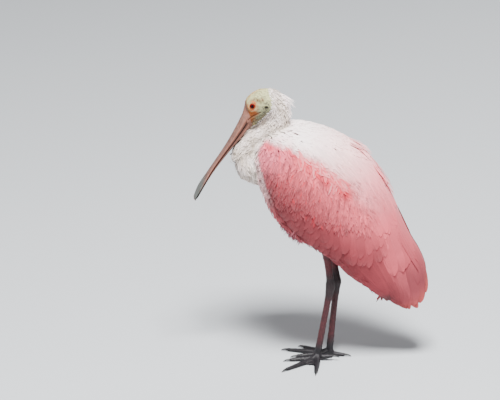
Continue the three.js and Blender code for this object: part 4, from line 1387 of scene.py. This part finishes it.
rng = np.random.default_rng(51)
roots = scatter(
    skin_guide, neck_ground, lambda p: np.interp(p[..., 2] / MM, [280, 360, 400, 430], [1.8, 1.6, 1.4, 1.3]), 51,
)
height = roots[:, 2] / MM
direction = neck_heading(roots) + 0.12 * rng.standard_normal(roots.shape)
direction = direction + np.cross(direction, [1, 0, 0]) * (0.4 * soft_noise(roots, 9 * MM, 21))[:, None]
neck = lay(
    skin_guide, roots, direction,
    np.interp(height, [280, 350, 395, 430], [18, 14, 9, 8]) * varied(rng, len(roots), 0.2),
    np.interp(height, [280, 350, 395, 430], [1.7, 1.5, 1.2, 1.0]), rng, lift=(0.4, 2.1), style=POINTED,
    shaggy=0.4, bend=0.6, camber=0.2, colour=neck_colour, dark_root=0.38, jitter=0.08,
)
feather_piece("neck_feathers", [neck], feather_finish)

# %% [markdown]
# ## Loose feathers
# Some feathers do not lie on the body: the shaggy crest, the fluff that hangs from the belly, tips that stand off
# the back and the carmine plumes where wing and back meet. They are drawn as free curves from a root.

# %% Free locks
def free_locks(roots, directions, lengths, half_widths, rng, tint, droop, curl):
    """Locks along free curves. They droop under their weight and curl sideways at random."""
    directions = directions / np.linalg.norm(directions, axis=1, keepdims=True)
    sideways = np.cross(directions, np.array([0, 0, 1.0]))
    sideways /= np.linalg.norm(sideways, axis=1, keepdims=True) + 1e-9
    t = np.array(LOCK[0])[None, :, None]
    bend = directions[:, None] * t + np.array([0, 0, -droop]) * t**2
    bend = bend + sideways[:, None] * (curl * rng.standard_normal((len(roots), 1, 1))) * t**2
    places = roots[:, None] + bend * MM * lengths[:, None, None]
    tangents = np.gradient(places, axis=1)
    normals = np.cross(np.cross(tangents, np.array([1.0, 0, 0.2])), tangents)
    normals /= np.linalg.norm(normals, axis=2, keepdims=True) + 1e-9
    colours = np.clip(np.broadcast_to(tint, places.shape) * varied(rng, (len(roots), 1, 1), 0.05), 0, 1)
    return vanes(
        (places, normals), LOCK, TUFT_RING, MM * half_widths, np.zeros(places.shape[:2]), 0.5 * MM, 0.0,
        np.zeros(len(roots)), colours, skin_unwrap,
    )


# %% Crest
rng = np.random.default_rng(61)
CREST_COUNT, STRAND_COUNT = 100, 22
NAPE = np.array([(0, -50, 434, -0.5), (0.6, -41, 424, -1.0), (1, -38, 408, -2.2)]).T  # share, y, z, fall
crest_roots, crest_directions, strand_roots, strand_directions = [], [], [], []
for i in range(CREST_COUNT):
    share = rng.random()
    x, (y, z, fall) = rng.normal(0, 5), [np.interp(share, NAPE[0], row_of) for row_of in NAPE[1:]]
    place, normal, _, _ = skin_guide.nearest(Vector((MIDLINE + x * MM, y * MM, z * MM)))
    crest_roots.append(place[:])
    fall += 0.25 * rng.standard_normal()
    crest_directions.append((Vector((0.3 * rng.standard_normal(), 1, fall)).normalized() + 0.15 * normal)[:])
crest = free_locks(
    np.array(crest_roots), np.array(crest_directions), rng.uniform(6, 12, CREST_COUNT),
    rng.uniform(0.5, 1.0, CREST_COUNT), rng, WHITE * 0.98, droop=0.25, curl=0.25,
)
for i in range(STRAND_COUNT):
    x, y, z = rng.normal(0, 4), rng.uniform(-56, -42), rng.uniform(428, 440)
    strand_roots.append(skin_guide.nearest(Vector((MIDLINE + x * MM, y * MM, z * MM)))[0][:])
    strand_directions.append((0.25 * rng.standard_normal(), 1, rng.uniform(-0.35, 0.1)))
strands = free_locks(
    np.array(strand_roots), np.array(strand_directions), rng.uniform(13, 23, STRAND_COUNT),
    rng.uniform(0.35, 0.65, STRAND_COUNT), rng, WHITE * 0.98, droop=0.45, curl=0.2,
)
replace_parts(feather_piece("crest_feathers", [crest, strands], feather_finish), "nape_crest")

# %% Carmine plumes, belly fluff and stray tips
def side_roots(places, side):
    found = [shell_guide.from_side(a, o, side) for a, o in places]
    return np.array([f[:] for f in found if f is not None])


def carmine_plume(points):
    share = 0.25 + 0.5 * rng.random(len(points))[:, None]
    return layered(CARMINE, points.shape, (PALE_PINK, np.broadcast_to(share, points.shape[:2])))


def carmine_spot(points):
    return mixed(plumage_colour(points), CARMINE, 0.2 + 0.4 * rng.random(len(points))[:, None])


loose = []
for side, seed in ((1, 62), (-1, 63)):
    rng = np.random.default_rng(seed)
    ridge = [[-80, -60, -35, 5, 25], [34, 42, 50, 55, 54]]
    roots = side_roots([(a, np.interp(a, *ridge) + rng.normal(0, 5)) for a in rng.uniform(-78, 14, 70)], side)
    count = len(roots)
    loose.append(lay(
        shell_guide, roots, heading_of(rng.normal(18, 14, count)), rng.uniform(14, 24, count),
        rng.uniform(1.4, 2.4, count), rng, lift=(2.0, 2.9), style=POINTED, bend=0.6, colour=carmine_plume,
    ))
    roots = side_roots([(rng.uniform(-95, 60), rng.uniform(-20, 44)) for _ in range(60)], side)
    along, out, _ = body_places(roots)
    count = len(roots)
    loose.append(lay(
        shell_guide, roots, heading_of(wing_turn(along, out) + 10 * rng.standard_normal(count)),
        rng.uniform(10, 18, count), rng.uniform(1.2, 2.2, count), rng, lift=(2.1, 2.7), style=POINTED,
        thickness=0.4, bend=0.5, colour=carmine_spot,
    ))
feather_piece("carmine_plumes", loose, feather_finish)



def fluff_ground(points):
    y, z = points[..., 1] / MM, points[..., 2] / MM
    return (z < 242) & (y < -14) & (y > -60)


rng = np.random.default_rng(64)
roots = scatter(skin_guide, fluff_ground, 1.7, 64)
count = len(roots)
# The fluff's dusky pink is darkened, partly painted shade of the underside where it hangs.
fluff = free_locks(
    roots, np.array([0, 0.1, -1]) + 0.22 * rng.standard_normal((count, 3)), rng.uniform(6, 12, count),
    rng.uniform(0.4, 0.8, count), rng, srgb(148, 76, 86), droop=0.1, curl=0.25,
)
feather_piece("belly_fluff", [fluff], feather_finish)

rng = np.random.default_rng(65)
STRAYS = [  # along and across of the tip, length
    (4, 16, 24), (10, 8, 28), (17, 13, 30), (22, 5, 26), (66, 15, 34), (74, 9, 40), (81, 14, 38), (88, 6, 42),
    (92, 12, 36),
]
stray = []
for side in (1, -1):
    roots = np.array([
        shell_guide.nearest(Vector(body_point(a, np.interp(a, [0, 50, 90], [103, 98, 84]), side * x)))[0][:]
        for a, x in ((tip - length, x) for tip, x, length in STRAYS)
    ])
    count = len(roots)
    stray.append(lay(
        shell_guide, roots, heading_of(rng.normal(0, 4, count), rng.normal(0, 0.06, count)),
        np.array([length for _, _, length in STRAYS], float), rng.uniform(1.8, 3, count), rng, lift=(1.6, 7),
        bend=0.1, jitter=0.1,
        colour=lambda p: mixed(plumage_colour(p), ROSE, np.linspace(0.5, 0.15, p.shape[1])[None, :]),
    ))
feather_piece("stray_feathers", stray, feather_finish)

# %% Short feathers where the bare face begins
def face_edge(points):
    behind = points + [0, 4.5 * MM, 0]
    return (bareness(points) > 0.3) & (bareness(behind) < 0.6) & (points[..., 2] > 372 * MM)


rng = np.random.default_rng(66)
roots = scatter(skin_guide, face_edge, 1.5, 66)
count = len(roots)
grey = near_path(roots[:, 1] / MM, roots[:, 2] / MM, [(-66, 426), (-68, 414), (-74, 404), (-84, 394)], 12)
grey = grey[:, None] * (rng.random((count, 1)) < 0.45)
edge_tufts = lay(
    skin_guide, roots, np.array([0, 0.8, -0.6]) + 0.2 * rng.standard_normal((count, 3)), rng.uniform(3, 5, count),
    rng.uniform(0.35, 0.6, count), rng, lift=(0.1, 1.1), style=POINTED, thickness=0.3, bend=0.4, shaggy=0.2,
    colour=lambda p: layered(WHITE * 0.95, p.shape, (ASH, 0.8 * np.broadcast_to(grey, p.shape[:2]))),
)
feather_piece("face_edge_feathers", [edge_tufts], feather_finish)

# %% Tail
TAIL_SPREAD = np.array([-19, 19, -15.5, 15.5, -12, 12, -8.5, 8.5, -5, 5, -1.8, 1.8])
TAIL_COUNT = len(TAIL_SPREAD)
roots = np.array([body_point(150, 0.25 * i, 0.35 * x) for i, x in enumerate(TAIL_SPREAD)])
tips = np.array([body_point(234 - 0.25 * abs(x), -18 + 0.35 * i, x) for i, x in enumerate(TAIL_SPREAD)])
places = roots[:, None] + (tips - roots)[:, None] * np.array(LONG[0])[None, :, None]
tail = vanes(
    (places, np.broadcast_to(BACKWARD, places.shape)), LONG, FLIGHT_RING, np.full(TAIL_COUNT, 5.5 * MM),
    np.zeros(places.shape[:2]), 0.35 * MM, 0.3, np.zeros(TAIL_COUNT), np.broadcast_to(TAIL_BUFF, places.shape),
    skin_unwrap,
)
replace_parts(feather_piece("tail_feathers", [tail], flight_finish), "tail")

# %% [markdown]
# ## Legs, feet and claws
# The legs are bare below the knee: dark red above, nearly black at the heel and on the feet and maroon between.
# Each leg is one skin, rebuilt finer than the body's so that the thin webs stay, and small solid scales cover it
# like a net. A claw is a smoothed copy of its solid.

# %% Leg skins
TIBIA_RED = srgb(80, 16, 24)
HEEL_BLACK = srgb(40, 26, 28)
MAROON = srgb(60, 22, 26)
FOOT_BLACK = srgb(24, 21, 25)
CLAW_BLACK = srgb(14, 12, 13)


def leg_colour(points):
    z = points[..., 2] / MM + 3 * soft_noise(points, 5 * MM, 31)
    colour = layered(
        FOOT_BLACK, points.shape, (MAROON, ramp(z, 18, 42)), (HEEL_BLACK, ramp(z, 98, 114)),
        (TIBIA_RED, ramp(z, 136, 158)),
    )
    return colour * (1 + 0.22 * soft_noise(points, 3 * MM, 32))[..., None]


SCALE_STYLE = (np.array([0, 0.25, 0.6, 1]), np.array([0.45, 0.95, 0.95, 0.4]))


def add_scales(name, guide, unwrap, seed):
    rng = np.random.default_rng(seed)
    roots = scatter(guide, lambda p: (p[..., 2] < 175 * MM) & (p[..., 2] > 3.5 * MM), 1.75, seed)
    count = len(roots)
    outwards = roots - roots[roots[:, 2] < 30 * MM].mean(0)
    outwards[:, 2] = -0.02
    outwards /= np.linalg.norm(outwards, axis=1, keepdims=True)
    heading = layered([0.0, 0, -1], roots.shape, (outwards, 1 - ramp(roots[:, 2] / MM, 14, 24)))
    walked = walk(guide, roots, heading, np.full(count, 2.5 * MM), SCALE_STYLE[0], np.zeros(count))
    size = MM * (1.05 + 0.12 * rng.standard_normal(count))
    colours = leg_colour(walked[0]) * (1.25 + 0.2 * rng.standard_normal((count, 1, 1)))
    scales = vanes(
        walked, SCALE_STYLE, VANE_RING, size, np.full((count, 4), -0.05 * MM), 0.34 * MM, 0.0, np.zeros(count),
        np.clip(colours, 0, 1), unwrap,
    )
    feather_piece(name, [scales], leg_finish)


for side_name, seed in (("left", 71), ("right", 72)):
    leg_nodes = [f"{part}_{side_name}" for part in ("tibia", "heel", "tarsus", "foot")]
    leg = new_piece(f"leg_{side_name}", merged_copy(leg_nodes, 0.3 * MM))
    one_surface(leg, 0.72 * MM, 12)
    places = corners_of(leg.data)
    knobs = soft_noise(places, 4 * MM, 33) * 0.25 + 0.5 * np.exp(-((places[:, 2] / MM - 127) / 9) ** 2)
    facing, height = normals_of(leg.data), places[:, 2] / MM
    on_shank = ramp(height, 16, 30)
    swelling = (knobs + 0.3) * on_shank + 0.7 * (1 - on_shank) * ramp(facing[:, 2], -0.4, 0.2)
    places = places + facing * (MM * swelling)[:, None]
    places[:, 2] = np.maximum(places[:, 2], 0.05 * MM)
    move_corners(leg.data, places)
    dress(leg, leg_colour(places) * 0.8, leg_finish, "leg_skin", *leg_nodes)
    add_scales(f"leg_scales_{side_name}", Guide(leg.data), Unwrap(leg, 0.12), seed)
    for toe in ("hind", "inner", "middle", "outer"):
        node = f"claw_{toe}_{side_name}"
        claw = new_piece(f"{toe}_claw_{side_name}", merged_copy([node], 0.25 * MM))
        rounder = claw.modifiers.new("rounder", "SUBSURF")
        rounder.levels = rounder.render_levels = 2
        apply_modifiers(claw)
        dress(claw, CLAW_BLACK, claw_finish, "claw", node)
    print("leg", side_name, len(leg.data.polygons), "faces")
